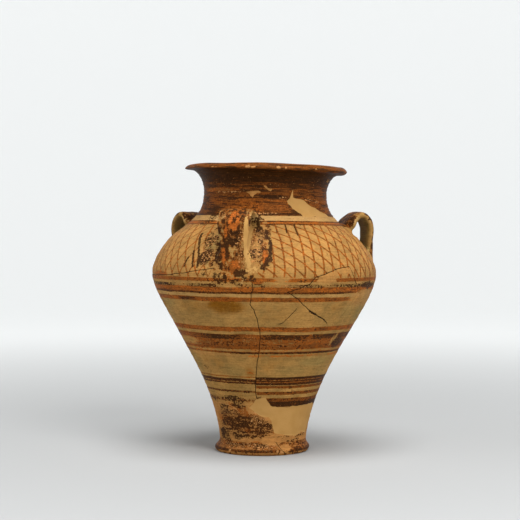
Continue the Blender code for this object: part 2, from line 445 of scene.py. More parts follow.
# Shares of a strap's length: the upper joint, then start and length of the narrowing and the lower joint.
UPPER_JOINT_END = 0.34
NARROWING = (0.55, 0.45)
LOWER_JOINT = (0.80, 0.20)
UPPER_THICKENING = 0.8
HEADING_STEP = 0.001
# Each joint: the strap's end, the wall faces opened across and up, the cuts in its seam, and how far it
# lies above the centre line's end. The upper one has as many edges around it as a strap has sides.
JOINTS = {"upper": (0.0, 24, 6, 3, 0.0048), "lower": (1.0, 20, 10, 6, 0.0045)}
JOINT_SEARCH = 0.03
WALL_TOLERANCE = 0.0012
SMOOTHED_HEIGHT = 0.036
SMOOTHED_DEGREES = 20.0
SMOOTHED_RINGS = 3
SMOOTHING_ROUNDS = 14


def new_part():
    mesh = bmesh.new()
    for name in LAYERS:
        mesh.verts.layers.float.new(name)
    return mesh


def add_part(mesh, part):
    """Moves a finished part into the main mesh, with its layers."""
    data = bpy.data.meshes.new("part")
    part.to_mesh(data)
    part.free()
    mesh.from_mesh(data)
    bpy.data.meshes.remove(data)


def layer(mesh, name):
    return mesh.verts.layers.float[name]


def spin_section(points, steps):
    """Spins a wedge of the outline about the axis and turns copies of it round the rest."""
    mesh = new_part()
    zone = layer(mesh, "zone")
    vertices = []
    for radius, height, place in points:
        vertex = mesh.verts.new((radius, 0.0, height))
        vertex[zone] = place
        vertices.append(vertex)
    edges = [mesh.edges.new(pair) for pair in zip(vertices, vertices[1:])]
    bmesh.ops.spin(
        mesh, geom=vertices + edges, cent=(0, 0, 0), axis=(0, 0, 1),
        angle=math.tau / WEDGES, steps=steps // WEDGES,
    )
    wedge = [*mesh.verts, *mesh.edges, *mesh.faces]
    for index in range(1, WEDGES):
        copied = bmesh.ops.duplicate(mesh, geom=wedge)["geom"]
        moved = [item for item in copied if isinstance(item, bmesh.types.BMVert)]
        turn = Matrix.Rotation(math.tau * index / WEDGES, 3, "Z")
        bmesh.ops.rotate(mesh, verts=moved, cent=(0, 0, 0), matrix=turn)
    bmesh.ops.remove_doubles(mesh, verts=mesh.verts, dist=MERGE_DISTANCE)
    return mesh


def throw_body(body):
    """The hollow body: a fine outer shell over the lip, joined to a coarser hollow inside."""
    points = stations(body)
    joint = len(OUTER_ZONES) + 0.5
    outer = [point for point in points if point[2] <= joint]
    inner = [point for point in points if point[2] > joint]
    mesh = new_part()
    add_part(mesh, spin_section(outer, body.segments))
    add_part(mesh, spin_section(inner, body.inner_segments))
    rims = [edge for edge in mesh.edges if edge.is_boundary]
    bmesh.ops.bridge_loops(mesh, edges=rims)
    return mesh


def strap_line(body, handles, table):
    """Centre line of a strap, from inside the shoulder wall, over the top and down to the belly."""
    shoulder = body.shoulder_height()
    upper_height = shoulder + handles.upper_root_rise
    lower_height = shoulder - handles.lower_root_drop
    upper = (float(table.radius_at(upper_height)) - handles.upper_root_depth, upper_height)
    top = (body.belly_radius - handles.top_set_in, shoulder + handles.top_rise)
    side = (body.belly_radius - handles.side_set_in, shoulder + handles.side_rise)
    lower = (float(table.radius_at(lower_height)) - handles.lower_root_depth, lower_height)
    first = curve("strap rise", upper, STRAP_START, top, LEVEL, top[1] - upper[1])
    second = curve("strap top", top, LEVEL, side, DOWN, top[1] - side[1])
    third = curve("strap fall", side, DOWN, lower, STRAP_END, side[1] - lower[1])
    return [*first, *second[1:], *third[1:]]


def strap_stations(body, handles, table):
    """The part of the centre line that stands clear of the wall, evenly spaced."""
    corners = as_array(strap_line(body, handles, table))
    run = run_along(corners)
    off = table.stand_off(corners[:, 0], corners[:, 1])
    middle = len(run) // 2
    start = np.interp(STRAP_CLEARANCE[0], off[:middle], run[:middle])
    end = np.interp(-STRAP_CLEARANCE[1], -off[middle:], run[middle:])
    thicker = handles.root_thickness - handles.strap_thickness
    found = []
    for index in range(STRAP_RINGS):
        part = index / (STRAP_RINGS - 1)
        at = start + (end - start) * part
        before, after = [
            np.array([np.interp(place, run, corners[:, axis]) for axis in (0, 1)])
            for place in (at - HEADING_STEP, at + HEADING_STEP)
        ]
        near_upper = 1 - float(smooth_step(part / UPPER_JOINT_END))
        near_lower = float(smooth_step((part - LOWER_JOINT[0]) / LOWER_JOINT[1]))
        narrowing = float(smooth_step((part - NARROWING[0]) / NARROWING[1]))
        width = handles.strap_width
        width += (handles.upper_root_width - handles.strap_width) * near_upper
        width += (handles.lower_root_width - handles.strap_width) * narrowing
        thickness = handles.strap_thickness + thicker * max(UPPER_THICKENING * near_upper, near_lower)
        direction = math.atan2(*(after - before))
        found.append(((before + after) / 2, direction, width, thickness, part))
    return found


def rounded(value, power):
    return math.copysign(abs(value) ** power, value)


def pull_strap(body, handles, table, bearing, rise):
    """One strap as a run of rounded rings, open at both ends."""
    mesh = new_part()
    turn = Matrix.Rotation(math.radians(bearing), 4, "Z")
    before = []
    for point, direction, width, thickness, part in strap_stations(body, handles, table):
        ring = bmesh.ops.create_circle(mesh, cap_ends=False, segments=STRAP_SIDES, radius=1.0)["verts"]
        place = turn @ Matrix.Translation((0.0, -point[0], point[1] + rise))
        place = place @ Matrix.Rotation(direction, 4, "X")
        for vertex in ring:
            across = rounded(vertex.co.x, STRAP_ROUNDING[0])
            face = rounded(vertex.co.y, STRAP_ROUNDING[1])
            vertex.co = place @ Vector((across * width / 2, face * thickness / 2, 0.0))
            for name, value in zip(LAYERS, (STRAP_ZONE, 1.0, part, across, face)):
                vertex[layer(mesh, name)] = value
        edges = list({edge for vertex in ring for edge in vertex.link_edges})
        if before:
            bmesh.ops.bridge_loops(mesh, edges=before + edges)
        before = edges
    return mesh


def lute_handle(mesh, body, handles, bearing, rise):
    """Opens the wall at both joints, bridges a strap between them and smooths the clay over the joints."""
    table = WallTable(body)
    add_part(mesh, pull_strap(body, handles, table, bearing, rise))
    along = layer(mesh, "strap_along")
    ends = [edge for edge in mesh.edges if edge.is_boundary]
    ends_at = {
        "upper": body.shoulder_height() + handles.upper_root_rise + rise,
        "lower": body.shoulder_height() - handles.lower_root_drop + rise,
    }
    heights = []
    for name, (end, columns, rows, cuts, lift) in JOINTS.items():
        height = ends_at[name] + lift
        ring = [edge for edge in ends if abs(edge.verts[0][along] - end) < 0.001]
        hole = open_wall(mesh, body, table, bearing, height, columns, rows)
        joined = bmesh.ops.bridge_loops(mesh, edges=hole + ring)
        old = set(hole + ring)
        seams = [edge for edge in joined["edges"] if edge not in old]
        bmesh.ops.subdivide_edges(mesh, edges=seams, cuts=cuts, use_grid_fill=True)
        heights.append(height)
    smooth_joints(mesh, bearing, heights)


def degrees_between(bearing, other):
    return (bearing - other + 180.0) % 360.0 - 180.0


def bearing_of(point):
    return math.degrees(math.atan2(point.x, -point.y))


def open_wall(mesh, body, table, bearing, height, columns, rows):
    """Deletes a patch of the outer wall and returns the edges around the hole."""
    step = 360.0 / body.segments
    run = table.run_at(height)
    patch = []
    for face in mesh.faces:
        if abs(face.verts[0].co.z - height) > JOINT_SEARCH:
            continue
        middle = face.calc_center_median()
        if abs(degrees_between(bearing_of(middle), bearing)) >= columns / 2 * step:
            continue
        if abs(table.stand_off(math.hypot(middle.x, middle.y), middle.z)) < WALL_TOLERANCE:
            patch.append((abs(table.run_at(middle.z) - run), face))
    patch.sort(key=lambda item: item[0])
    chosen = [face for distance, face in patch[:columns * rows]]
    inside = set(chosen)
    edges = {edge for face in chosen for edge in face.edges}
    rim = [edge for edge in edges if any(face not in inside for face in edge.link_faces)]
    if len(rim) != 2 * (columns + rows):
        raise RuntimeError(f"the joint at {bearing:.0f} degrees opened {len(rim)} edges")
    bmesh.ops.delete(mesh, geom=chosen, context="FACES")
    return rim


def smooth_joints(mesh, bearing, heights):
    """Rounds the clay pressed on where a strap meets the wall."""
    strap = layer(mesh, "strap")
    near = []
    for vertex in mesh.verts:
        if min(abs(vertex.co.z - height) for height in heights) > SMOOTHED_HEIGHT:
            continue
        if abs(degrees_between(bearing_of(vertex.co), bearing)) < SMOOTHED_DEGREES:
            near.append(vertex)
    wide = {vertex for vertex in near if 0.001 < vertex[strap] < 0.999}
    for _ in range(SMOOTHED_RINGS):
        wide |= {edge.other_vert(vertex) for vertex in wide for edge in vertex.link_edges}
    for _ in range(SMOOTHING_ROUNDS):
        bmesh.ops.smooth_vert(
            mesh, verts=list(wide), factor=0.5, use_axis_x=True, use_axis_y=True, use_axis_z=True,
        )


# Breaks, fills and strokes. Every corner is a bearing in degrees and a height in millimetres.

BREAKS = {
    "main": (
        (9.5, 245), (10, 235), (9, 230), (8.5, 220), (8, 215), (10, 207), (11.5, 195), (12.3, 183),
        (13, 178), (13.2, 170), (12.8, 160), (12.2, 150), (11.8, 143), (11, 138), (10, 128), (9.2, 115),
        (8.5, 105), (8, 95), (8, 88), (9, 82), (13, 83.5),
    ),
    "left": ((-104, 243), (-88, 246), (-74, 251), (-60, 250), (-40, 252), (-30, 255), (-20, 259), (-10, 263)),
    "sherd": (
        (41, 252), (47, 257), (51, 261), (56, 264), (62.5, 266), (64, 258), (66, 249), (69, 241), (71, 235),
        (73, 229), (70, 215), (66, 195),
    ),
    "diagonal": ((27, 232), (31, 226), (34, 220), (38, 212), (42, 205), (48, 198), (52, 194), (56, 188)),
    "branch": ((27, 232), (33, 237), (38, 243), (41, 252)),
    "faint diagonal": ((33, 209), (30, 199), (27, 191), (25, 188)),
    "wedge": ((40.5, 207), (43, 203.5), (46, 201)),
    "neck": ((54, 359), (62, 356.5), (72, 354), (80, 351), (94, 349), (104, 352)),
    "foot": ((33, 18), (38, 10), (45, 2)),
    "side": ((73, 235), (77, 224), (79, 212), (80, 204), (79, 195), (74, 184)),
    "back upright": (
        (168, 312), (171, 290), (167, 262), (164, 240), (168, 214), (163, 190), (166, 160), (172, 138),
        (176, 118),
    ),
    "back level": ((88, 168), (104, 175), (122, 170), (143, 178), (165, 172), (-178, 180), (-160, 176)),
    "back left": ((-104, 243), (-122, 236), (-138, 221), (-150, 198), (-160, 176), (-164, 150)),
}
FILLS = {
    "lower": (
        (0, 68), (5, 75), (8, 81), (18, 83), (20, 79), (22, 75), (26, 70), (32, 69), (40, 69.5), (60, 70),
        (88, 71), (97, 66), (99, 48), (88, 27), (75, 30), (62, 25), (55, 27), (45, 28), (36, 30), (30, 31),
        (29, 34), (27, 42), (25, 50), (22, 54), (14, 55), (8, 60),
    ),
    "neck": (
        (35, 355), (38, 359), (41.5, 373), (42, 360), (47, 358.5), (52, 358), (56, 352.5), (60, 349),
        (66, 346), (71, 342), (77, 339), (85, 333), (48, 333), (46, 337), (40, 344), (36, 352),
    ),
    "back": ((150, 232), (166, 240), (178, 233), (176, 212), (168, 203), (155, 209)),
}
FLAKES = {
    "neck flake": (
        (13.5, 376), (16, 375.5), (17.5, 373), (22, 371), (21, 367.5), (18.5, 368.5), (16.5, 371.5),
        (14, 373.5),
    ),
    "neck notch": (
        (-3, 366.6), (3, 367.8), (9.5, 368.5), (12, 366), (8, 364.5), (5.5, 362), (4, 358.5), (2, 361.5),
        (-0.5, 365),
    ),
    "sherd": ((41, 246), (43, 252), (47, 257), (52, 260), (54.5, 256), (52.5, 250), (53.5, 244.8), (46, 244)),
}
STROKES = {
    "net 1": ("blotch", 1.8, (29.3, 311), (29.9, 321.5)),
    "net 2": ("blotch", 2.0, (35.6, 308), (36.4, 321.5)),
    "net 3": ("blotch", 0.8, (22.7, 311), (23.2, 315)),
    "left 1": ("blotch", 2.1, (-28.2, 266), (-27.2, 277)),
    "left 2": ("blotch", 2.5, (-22.6, 265), (-23.8, 276), (-24.9, 285)),
    "left 3": ("blotch", 2.8, (-19.6, 266), (-20.4, 279), (-23.0, 293), (-26.7, 309)),
    "wedge": ("blotch", 2.0, (40.8, 206.5), (43, 203.4), (45, 201.6)),
    "sherd end": ("blotch", 0.9, (62.5, 266), (64, 258), (66, 249), (69, 241)),
    "wedge low": ("blotch", 1.1, (47, 199.3), (50.5, 196), (53, 193)),
    "collar": ("blotch", 0.9, (-75, 363.5), (-60, 364.5), (-30, 366.5), (10, 369.5)),
    "scratch": ("crumbs", 0.7, (-50, 70), (-38, 71.5), (-28, 70.5), (-20, 67.5), (-14, 62)),
}
# Clay pulled out by hand: bearing, radius, height, reach, outward, upward.
PULLS = ((105, 0.121, 0.314, 0.020, 0.0052, -0.0045),)
# Deeper gaps where two sherds part: bearing, height, half width, half height.
WEDGE_GAPS = ((43, 203.5, 6.5, 3.0), (54, 190.5, 4.0, 1.2))
WEDGE_GAP_DEPTH = 0.0016
# Each kind of line: where it is listed, corner spacing in metres, unevenness in millimetres, if it closes.
LINE_KINDS = {
    "breaks": (BREAKS, 0.0045, 0.22, False),
    "fills": (FILLS, 0.0045, 0.35, True),
    "flakes": (FLAKES, 0.003, 0.30, True),
}
STROKE_SPACING = 0.006
STROKE_JITTER = 0.1
SIDEWAYS_JITTER = 0.45
# How far from a line the wall is lifted out, and how far its cuts reach.
LIFTED_REACH = 0.018
LINE_REACH = 0.014
CUT_REACH = 0.007
CUT_OVERRUN = 0.0024
CUT_SNAP = 0.00006


def refined(line, table, spacing, jitter, chance):
    """Corners on the wall every few millimetres along a line, each a little off it."""
    corners = [Vector((bearing, height)) for bearing, height in line]
    found = []
    for start, end in zip(corners, corners[1:]):
        ends = [table.place(point.x, point.y / 1000) for point in (start, end)]
        steps = max(round((ends[1] - ends[0]).length / spacing), 1)
        for step in range(steps):
            point = start.lerp(end, step / steps)
            if found:
                point = point + Vector((chance.gauss(0, jitter * SIDEWAYS_JITTER), chance.gauss(0, jitter)))
            found.append(table.place(point.x, point.y / 1000))
    found.append(table.place(corners[-1].x, corners[-1].y / 1000))
    return found


def faces_near(mesh, line, reach):
    """The mesh's faces that have their middle close to a line."""
    corners = as_array(line)
    low = corners.min(axis=0) - reach
    high = corners.max(axis=0) + reach
    found = []
    for face in mesh.faces:
        corner = face.verts[0].co
        if low[0] < corner.x < high[0] and low[1] < corner.y < high[1] and low[2] < corner.z < high[2]:
            found.append(face)
    if not found:
        return found
    middles = as_array(face.calc_center_median() for face in found)
    distance = line_distance(middles, corners)[0]
    return [face for face, away in zip(found, distance) if away < reach]


def line_distance(points, corners):
    """Each point's distance from a line of corners, with its signed side of the nearest piece."""
    best = np.full(len(points), 1.0)
    side = np.zeros(len(points))
    for start, end in zip(corners, corners[1:]):
        along = end - start
        offset = points - start
        part = np.clip(offset @ along / (along @ along), 0.0, 1.0)
        distance = np.linalg.norm(offset - part[:, None] * along, axis=1)
        outward = np.array((start[0], start[1], 0.0))
        across = np.cross(along, outward)
        closer = distance < best
        best = np.where(closer, distance, best)
        side = np.where(closer, np.sign(offset @ across), side)
    return best, side


def lift_out(mesh, faces):
    """Takes some faces out of the mesh and returns them as a part of their own."""
    mesh.faces.index_update()
    numbers = {face.index for face in faces}
    part = mesh.copy()
    others = [face for face in part.faces if face.index not in numbers]
    bmesh.ops.delete(part, geom=others, context="FACES")
    bmesh.ops.delete(mesh, geom=list(faces), context="FACES")
    return part


def put_back(mesh, part):
    """Joins a part that was lifted out to the rest again."""
    add_part(mesh, part)
    bmesh.ops.remove_doubles(mesh, verts=mesh.verts, dist=MERGE_DISTANCE)


def cut_along(mesh, line, offsets):
    """Cuts the wall along a line and beside it, in a part lifted out for speed."""
    part = lift_out(mesh, faces_near(mesh, line, LINE_REACH))
    near = set(faces_near(part, line, CUT_REACH))
    for start, end in zip(line, line[1:]):
        along = end - start
        middle = (start + end) / 2
        across = along.cross(Vector((middle.x, middle.y, 0.0))).normalized()
        reach = along.length / 2 + CUT_OVERRUN
        for offset in offsets:
            place = middle + across * offset
            faces = [face for face in near if (face.calc_center_median() - place).length < reach]
            edges = {edge for face in faces for edge in face.edges}
            corners = {corner for face in faces for corner in face.verts}
            cut = bmesh.ops.bisect_plane(
                part, geom=[*corners, *edges, *faces], dist=CUT_SNAP, plane_co=place, plane_no=across,
            )
            near.update(item for item in cut["geom"] if isinstance(item, bmesh.types.BMFace))
    put_back(mesh, part)


def plan_lines(table):
    """The places of all breaks, fill edges and strokes on the wall."""
    chance = random.Random(7)
    lines = {}
    for kind, (source, spacing, jitter, closes) in LINE_KINDS.items():
        lines[kind] = []
        for line in source.values():
            corners = [*line, line[0]] if closes else line
            lines[kind].append(refined(corners, table, spacing, jitter, chance))
    lines["strokes"] = []
    for layer_name, width, *line in STROKES.values():
        corners = refined(line, table, STROKE_SPACING, STROKE_JITTER, chance)
        lines["strokes"].append((layer_name, width / 1000, corners))
    return lines


def cut_surface(mesh, lines, relief):
    """Cuts all breaks, fill edges and strokes into the wall."""
    half = relief.crack_half_width
    cuts = [(line, (0.0, half, -half)) for line in lines["breaks"]]
    cuts += [(line, (0.0, relief.fill_edge)) for line in (*lines["fills"], *lines["flakes"])]
    cuts += [(line, (0.0, width, -width)) for layer_name, width, line in lines["strokes"]]
    near = {face for line, offsets in cuts for face in faces_near(mesh, line, LIFTED_REACH)}
    part = lift_out(mesh, near)
    for line, offsets in cuts:
        cut_along(part, line, offsets)
    put_back(mesh, part)
    many = [face for face in mesh.faces if len(face.verts) > 4]
    bmesh.ops.triangulate(mesh, faces=many)


# Painted and worn spots: bearing, height, half width, half height in millimetres, strength.

SPOTS = {
    # Where the thick paint of a band is stronger or weaker than usual.
    "thick": (
        (-30, 240, 17, 4, -0.5), (1, 240, 24, 4, -0.5), (22, 240, 18, 4, -0.6), (48.5, 240, 13, 4, -0.4),
        (-48, 240, 32, 4, 0.4), (-16, 240, 20, 4, 0.3), (37, 240, 19, 4, 0.4), (66, 240, 34, 4, 0.3),
        (-47, 170, 38, 5, -0.5), (7, 170, 18, 5, -0.6), (46.5, 170, 5, 5, -0.5), (-15, 170, 34, 5, 0.3),
        (30, 170, 34, 5, 0.3), (66, 170, 42, 5, 0.3), (-45, 147, 30, 3, -0.7), (-20, 147, 20, 3, -0.2),
        (-60, 323, 50, 5, -0.5), (62, 323, 24, 5, -0.4),
    ),
    # Thick dark paint outside the bands.
    "blotch": (
        (82, 240, 34, 5, 0.85), (83, 233, 8, 4, 0.75), (-29, 221, 25, 4, 0.55), (55, 223.7, 40, 1.6, 0.5),
        (-10, 160, 50, 6, 0.42), (78, 160, 20, 10, 0.8), (53, 180, 18, 3.5, 0.45), (35, 157, 60, 1.6, 0.5),
        (-41, 123, 9, 2.5, 0.65), (62, 255.5, 3, 3, 0.55), (58, 259, 4, 5, 0.45), (-20, 80, 20, 5, 0.72),
        (-34, 66, 14, 7, 0.70), (-24, 59, 18, 8, 0.66), (-12, 70, 14, 6, 0.6), (-48, 76, 8, 7, 0.55),
        (-14, 46, 26, 14, 0.64), (4, 46, 22, 14, 0.64), (18, 40, 15, 12, 0.66), (-32, 46, 16, 14, 0.52),
        (8, 30, 20, 7, 0.60), (-16, 29, 22, 9, 0.62), (-44, 27, 18, 10, 0.68), (-37, 58, 12, 10, 0.62),
        (-30, 40, 26, 12, 0.58), (-24, 14, 30, 4, 0.60), (-3, 290, 5, 7, 0.5), (15, 14, 12, 4, 0.8),
        (-4, 7, 60, 2.4, 0.62), (32, 24, 8, 5, 0.55), (56, 17, 16, 6, 0.5), (65, 26, 12, 5, 0.5),
        (80, 27, 12, 5, 0.45), (45, 25, 14, 4, 0.45), (-15, 14, 16, 4, 0.5), (-8, 314, 7.5, 8, 0.85),
        (-1, 299, 15, 7, 0.8), (-8, 290, 7, 12, 0.8), (4, 259, 9, 6, 0.75), (-6, 332, 6, 8, 0.6),
        (6, 336, 5, 6, 0.5), (-8, 276, 7, 10, 0.6), (6, 281, 5, 9, 0.55), (-4, 343, 12, 6, 0.5),
        (6.5, 302, 5, 8, 0.66), (9, 282, 6, 10, 0.72), (15, 266, 7, 6, 0.66), (11, 314, 6, 10, 0.55),
        (13, 302, 6, 14, 0.62), (12.5, 284, 6, 12, 0.62), (18.4, 290, 3.4, 22, 0.92), (16, 308, 4, 10, 0.6),
        (10, 327, 9, 9, 0.6), (12, 272, 7, 7, 0.5), (16.5, 308, 3.5, 8, 0.95), (12.5, 316, 5, 5, 0.92),
        (7.5, 323, 6, 4, 0.92), (16.6, 272, 3.2, 8, 0.95), (14.5, 265, 5, 4, 0.9), (-4, 252, 5, 3, 0.95),
        (1, 247.5, 8, 2.2, 0.92), (6, 249, 6, 2.2, 0.88), (9.5, 255, 4, 2.5, 0.88),
        (3.5, 254, 7, 1.8, 0.82), (-14.5, 302, 4, 8, 0.8), (-9.5, 284, 4, 10, 0.85), (-6, 266, 4, 8, 0.85),
        (-17.5, 276, 8, 10, 0.95), (-15, 281, 8, 16, 0.85), (-18, 300, 7, 16, 0.68),
        (-12, 296, 5, 12, 0.55), (-14, 318, 9, 8, 0.6), (-11, 268, 5, 10, 0.5), (-30, 331, 10, 5, 0.6),
        (-23, 339, 12, 5, 0.6), (-34, 323, 14, 4, 0.55), (-13, 334, 8, 8, 0.6), (3, 258, 10, 7, 0.66),
        (-7, 250, 12, 9, 0.6), (-14, 257, 9, 5, 0.55), (10, 248, 12, 4, 0.5), (-2, 243, 26, 5, 0.5),
        (-60, 382, 40, 7, 0.25), (22, 360.5, 26, 4.5, 0.85), (-20, 375, 30, 4, 0.3), (40, 378, 40, 8, 0.2),
        (-35, 343, 22, 9, 0.6), (-20, 350, 20, 6, 0.5), (-55, 352, 24, 16, 0.56), (-62, 372, 22, 14, 0.55),
        (-113, 340, 20, 10, 0.6),
    ),
    # Thin brown or orange paint outside the bands. Strengths over one are bright orange.
    "rust": (
        (0.3, 326, 9.5, 17, 1.6), (-4.5, 281, 5, 15, 1.2), (1.5, 267, 11, 9, 1.1), (15.8, 279, 5, 13, 1.15),
        (-3.5, 310, 4, 14, 1.2), (-2, 264, 20, 22, 0.62), (11, 287, 10, 26, 0.5), (0, 345, 16, 8, 0.7),
        (-50, 253.5, 32, 5, 0.65), (-16, 290, 10, 26, 0.45), (-4, 246, 24, 9, 0.55), (5, 262, 9, 6, 0.45),
        (-3, 354, 20, 5, 0.5), (15, 300, 8, 22, 0.6), (-16, 52, 54, 28, 0.62), (8, 38, 32, 18, 0.62),
        (20, 12, 110, 11, 0.52), (68, 26, 32, 6, 0.4), (-42, 110, 12, 4, 0.3), (14, 259, 14, 4, 0.35),
        (4, 119, 8, 8, 0.45), (12, 246, 12, 3, 1.0),
    ),
    # Paint gone down to the clay.
    "bare": (
        (48, 249, 13, 6, 0.9), (59, 260, 20, 5, 0.7), (86, 225, 54, 9, 1.0), (86, 218, 50, 9, 1.0),
        (69, 163, 2, 7, 0.7), (72, 168, 3, 5, 0.6), (-38, 143, 72, 3, 0.75), (-50, 161, 32, 7, 0.28),
        (-7.3, 303.5, 6, 3.5, 0.9), (0, 288, 6, 4, 0.4), (-35, 369, 38, 3, 0.3), (-28, 65.5, 19, 1.4, 0.5),
        (4, 66, 8, 6, 0.8), (28, 20, 14, 6, 0.5), (-8, 21, 10, 3, 0.4), (45, 9, 9, 5, 0.5),
        (24, 250, 14, 6, 0.5), (-2, 240, 14, 5, 0.25), (10, 262, 6, 7, 0.5), (-20, 328, 10, 4, 0.4),
    ),
    # Lines of small pale chips along a worn edge.
    "crumbs": (
        (15, 337.2, 22, 1.5, 0.62), (-20, 366.0, 34, 1.6, 0.45), (59, 357.5, 10, 1.8, 0.6),
        (70, 354.4, 8, 1.8, 0.6), (32, 359.5, 8, 2.0, 0.5), (5, 168, 10, 5, 0.25), (-30, 60, 26, 6, 0.35),
        (10, 55, 16, 14, 0.35), (0, 12, 60, 6, 0.35), (8, 290, 22, 34, 0.36), (-16, 290, 12, 30, 0.34),
        (30, 240, 40, 3, 0.3), (88, 386, 6, 4, 0.4),
    ),
    # Plaster smoothed over the wall and the strap without a cut edge.
    "plaster": (
        (6.4, 304, 3.8, 34, 1.0), (7.5, 272, 5, 12, 0.72), (10, 261, 9, 7, 0.56), (4, 246, 7, 5, 0.4),
        (16, 257, 8, 4, 0.45),
    ),
    # Yellow-brown stain in the clay.
    "stain": (
        (-6, 213, 32, 13, 0.95), (-62, 214, 22, 10, 0.6), (-25, 210, 34, 12, 0.4), (4, 120, 9, 10, 0.5),
        (20, 132, 30, 12, 0.3), (-30, 130, 26, 14, 0.25), (60, 210, 20, 9, 0.3), (-12, 95, 18, 16, 0.3),
        (20, 202, 50, 14, 0.22), (5, 250, 30, 12, 0.4), (140, 210, 40, 14, 0.4), (-140, 130, 30, 20, 0.4),
    ),
    # Greenish grey dirt and soot.
    "grime": (
        (60, 133, 32, 8, 0.6), (40, 122, 26, 7, 0.35), (-50, 216, 24, 10, 0.5), (70, 205, 18, 12, 0.35),
        (-10, 120, 18, 10, 0.25), (-150, 200, 50, 30, 0.4), (160, 120, 34, 22, 0.4),
        (86, 212, 26, 24, 0.55), (-14, 290, 9, 26, 0.6), (-6, 300, 14, 36, 0.5), (-58, 150, 20, 60, 0.3),
        (75, 120, 20, 60, 0.25),
    ),
}
MARKS = ("crack", "fill", "chip", "wall_run", *SPOTS)
# Chips: bearing, size in millimetres, share of the whole depth.
LIP_CHIPS = (
    (3, 5.0, 0.9), (7, 3.0, 0.5), (-24, 2.6, 0.5), (-21, 1.8, 0.4), (24, 3.4, 0.6), (29, 2.2, 0.5),
    (-58, 2.2, 0.4), (52, 2.0, 0.4), (96, 3.0, 0.6), (131, 4.5, 0.8), (168, 3.0, 0.6), (-112, 5.0, 0.8),
    (-119, 3.0, 0.5),
)
FOOT_CHIPS = ((40, 4.2, 0.9), (34, 2.2, 0.5), (-27, 3.0, 0.5), (118, 4.0, 0.8), (-130, 3.6, 0.7))
FOOT_CHIP_DEPTH = 0.0012
# A chip's reach in millimetres, the grain of its ragged edge, and how steep it is.
CHIP_REACH = 14
CHIP_GRAIN = 700
CHIP_STEEPNESS = 1.8
# The step across a break in turn, and how far from the break it dies away.
BREAK_STEPS = (0.00015, 0.00022)
BREAK_STEP_REACH = 0.009
# A spot is full up to its core and fades over the rest, both in its half widths.
SPOT_CORE = 0.45
SPOT_FADE = 0.9
STROKE_STRENGTH = 1.6
# Height from which the net's lines are measured up the wall.
NET_FOOT = 0.2505
# Waves of the throwing ridges: pitch in millimetres, turns, share of the slow noise, strength.
NECK_WAVES = ((5.2, 1, 0.9, 1.0), (2.9, -1, 0.0, 0.5))
BODY_WAVES = ((13.0, 1, 1.5, 1.0), (7.1, 0, 2.0, 0.6))
INNER_WAVES = ((11.0, 1, 0.6, 1.0),)
# Where ridges begin and end: height and fade of each, in millimetres.
NECK_RIDGES = (322, 14, 388, 10)
BODY_RIDGES = (16, 10, 300, 20)
INNER_RIDGES = (22, 20)
# Height in millimetres up to which the wall's unevenness grows, so that the jar stands flat.
STILL_FOOT = 12
STRAP_DENT = 0.0006
STRAP_GROOVE = 0.00035
STRAP_GROOVE_WIDTH = 0.28
# The side straps' inner faces are thicker than the front one's: bearing, thickness.
THICKER_STRAPS = ((120, 0.0036), (-112, 0.0024))
# The lip's unevenness: bearings of its thick and its thin side, changes of height, and waves around it.
LIP_SIDES = (105, -75)
LIP_UPPER_RIGHT = 0.0012
LIP_UNDER_RIGHT = -0.0011
LIP_UNDER_LEFT = 0.0013
LIP_WAVES = ((0.00035, 7, 0), (0.0003, 3, 40))
# The parts of the section that they change, as zones with their fades.
LIP_UPPER = (6.5, 1.0, 9.0, 0.5)
LIP_UNDER = (5.5, 0.7, 6.4, 0.6)


class Surface:
    """The finished mesh's vertices as arrays, with the layers that the finish reads."""

    def __init__(self, data, table):
        self.data = data
        self.points = self.read(data.vertices, "co", 3).reshape(-1, 3)
        self.true_points = self.points.copy()
        self.normals = self.read(data.vertex_normals, "vector", 3).reshape(-1, 3)
        self.layers = {name: np.zeros(len(self.points)) for name in MARKS}
        for name in LAYERS:
            self.layers[name] = self.read(data.attributes[name].data, "value", 1)
        self.bearing = np.degrees(np.arctan2(self.points[:, 0], -self.points[:, 1]))
        self.height = self.points[:, 2] * 1000
        self.radius = np.hypot(self.points[:, 0], self.points[:, 1]) * 1000
        self.outer = self.layers["zone"] < len(OUTER_ZONES)
        self.wall = self.outer & (self.layers["strap"] < 0.5)
        self.hollow = self.layers["zone"] >= len(OUTER_ZONES) + 0.5
        self.layers["wall_run"] = 1000 * (table.run_at(self.points[:, 2]) - table.run_at(NET_FOOT))

    def read(self, items, name, size):
        values = np.zeros(len(self.data.vertices) * size)
        items.foreach_get(name, values)
        return values

    def distance(self, place):
        return np.linalg.norm(self.true_points - np.array(place), axis=1)

    def spot_distance(self, bearing, height, half_width, half_height):
        """Distance from a place on the wall, in half widths and half heights."""
        sideways = degrees_between(self.bearing, bearing) * np.radians(self.radius) / half_width
        upward = (self.height - height) / half_height
        return np.sqrt(sideways ** 2 + upward ** 2)

    def strengthen(self, name, index, values):
        """Raises a layer to the given values where they are greater."""
        self.layers[name][index] = np.maximum(self.layers[name][index], values)

    def store(self):
        """Writes the points and the layers to the mesh."""
        self.data.vertices.foreach_set("co", self.points.ravel())
        for name, values in self.layers.items():
            if name not in self.data.attributes:
                self.data.attributes.new(name, "FLOAT", "POINT")
            self.data.attributes[name].data.foreach_set("value", values)
        place = self.data.attributes.new("true_place", "FLOAT_VECTOR", "POINT")
        place.data.foreach_set("vector", self.true_points.ravel())
        self.data.update()


def mark_spots(surface):
    """Adds the soft edged spots to their layers."""
    for name, spots in SPOTS.items():
        values = surface.layers[name]
        for *place, strength in spots:
            distance = surface.spot_distance(*place)
            value = strength * (1 - smooth_step((distance - SPOT_CORE) / SPOT_FADE)) * surface.outer
            values = values + value if name == "thick" else np.maximum(values, value)
        surface.layers[name] = values


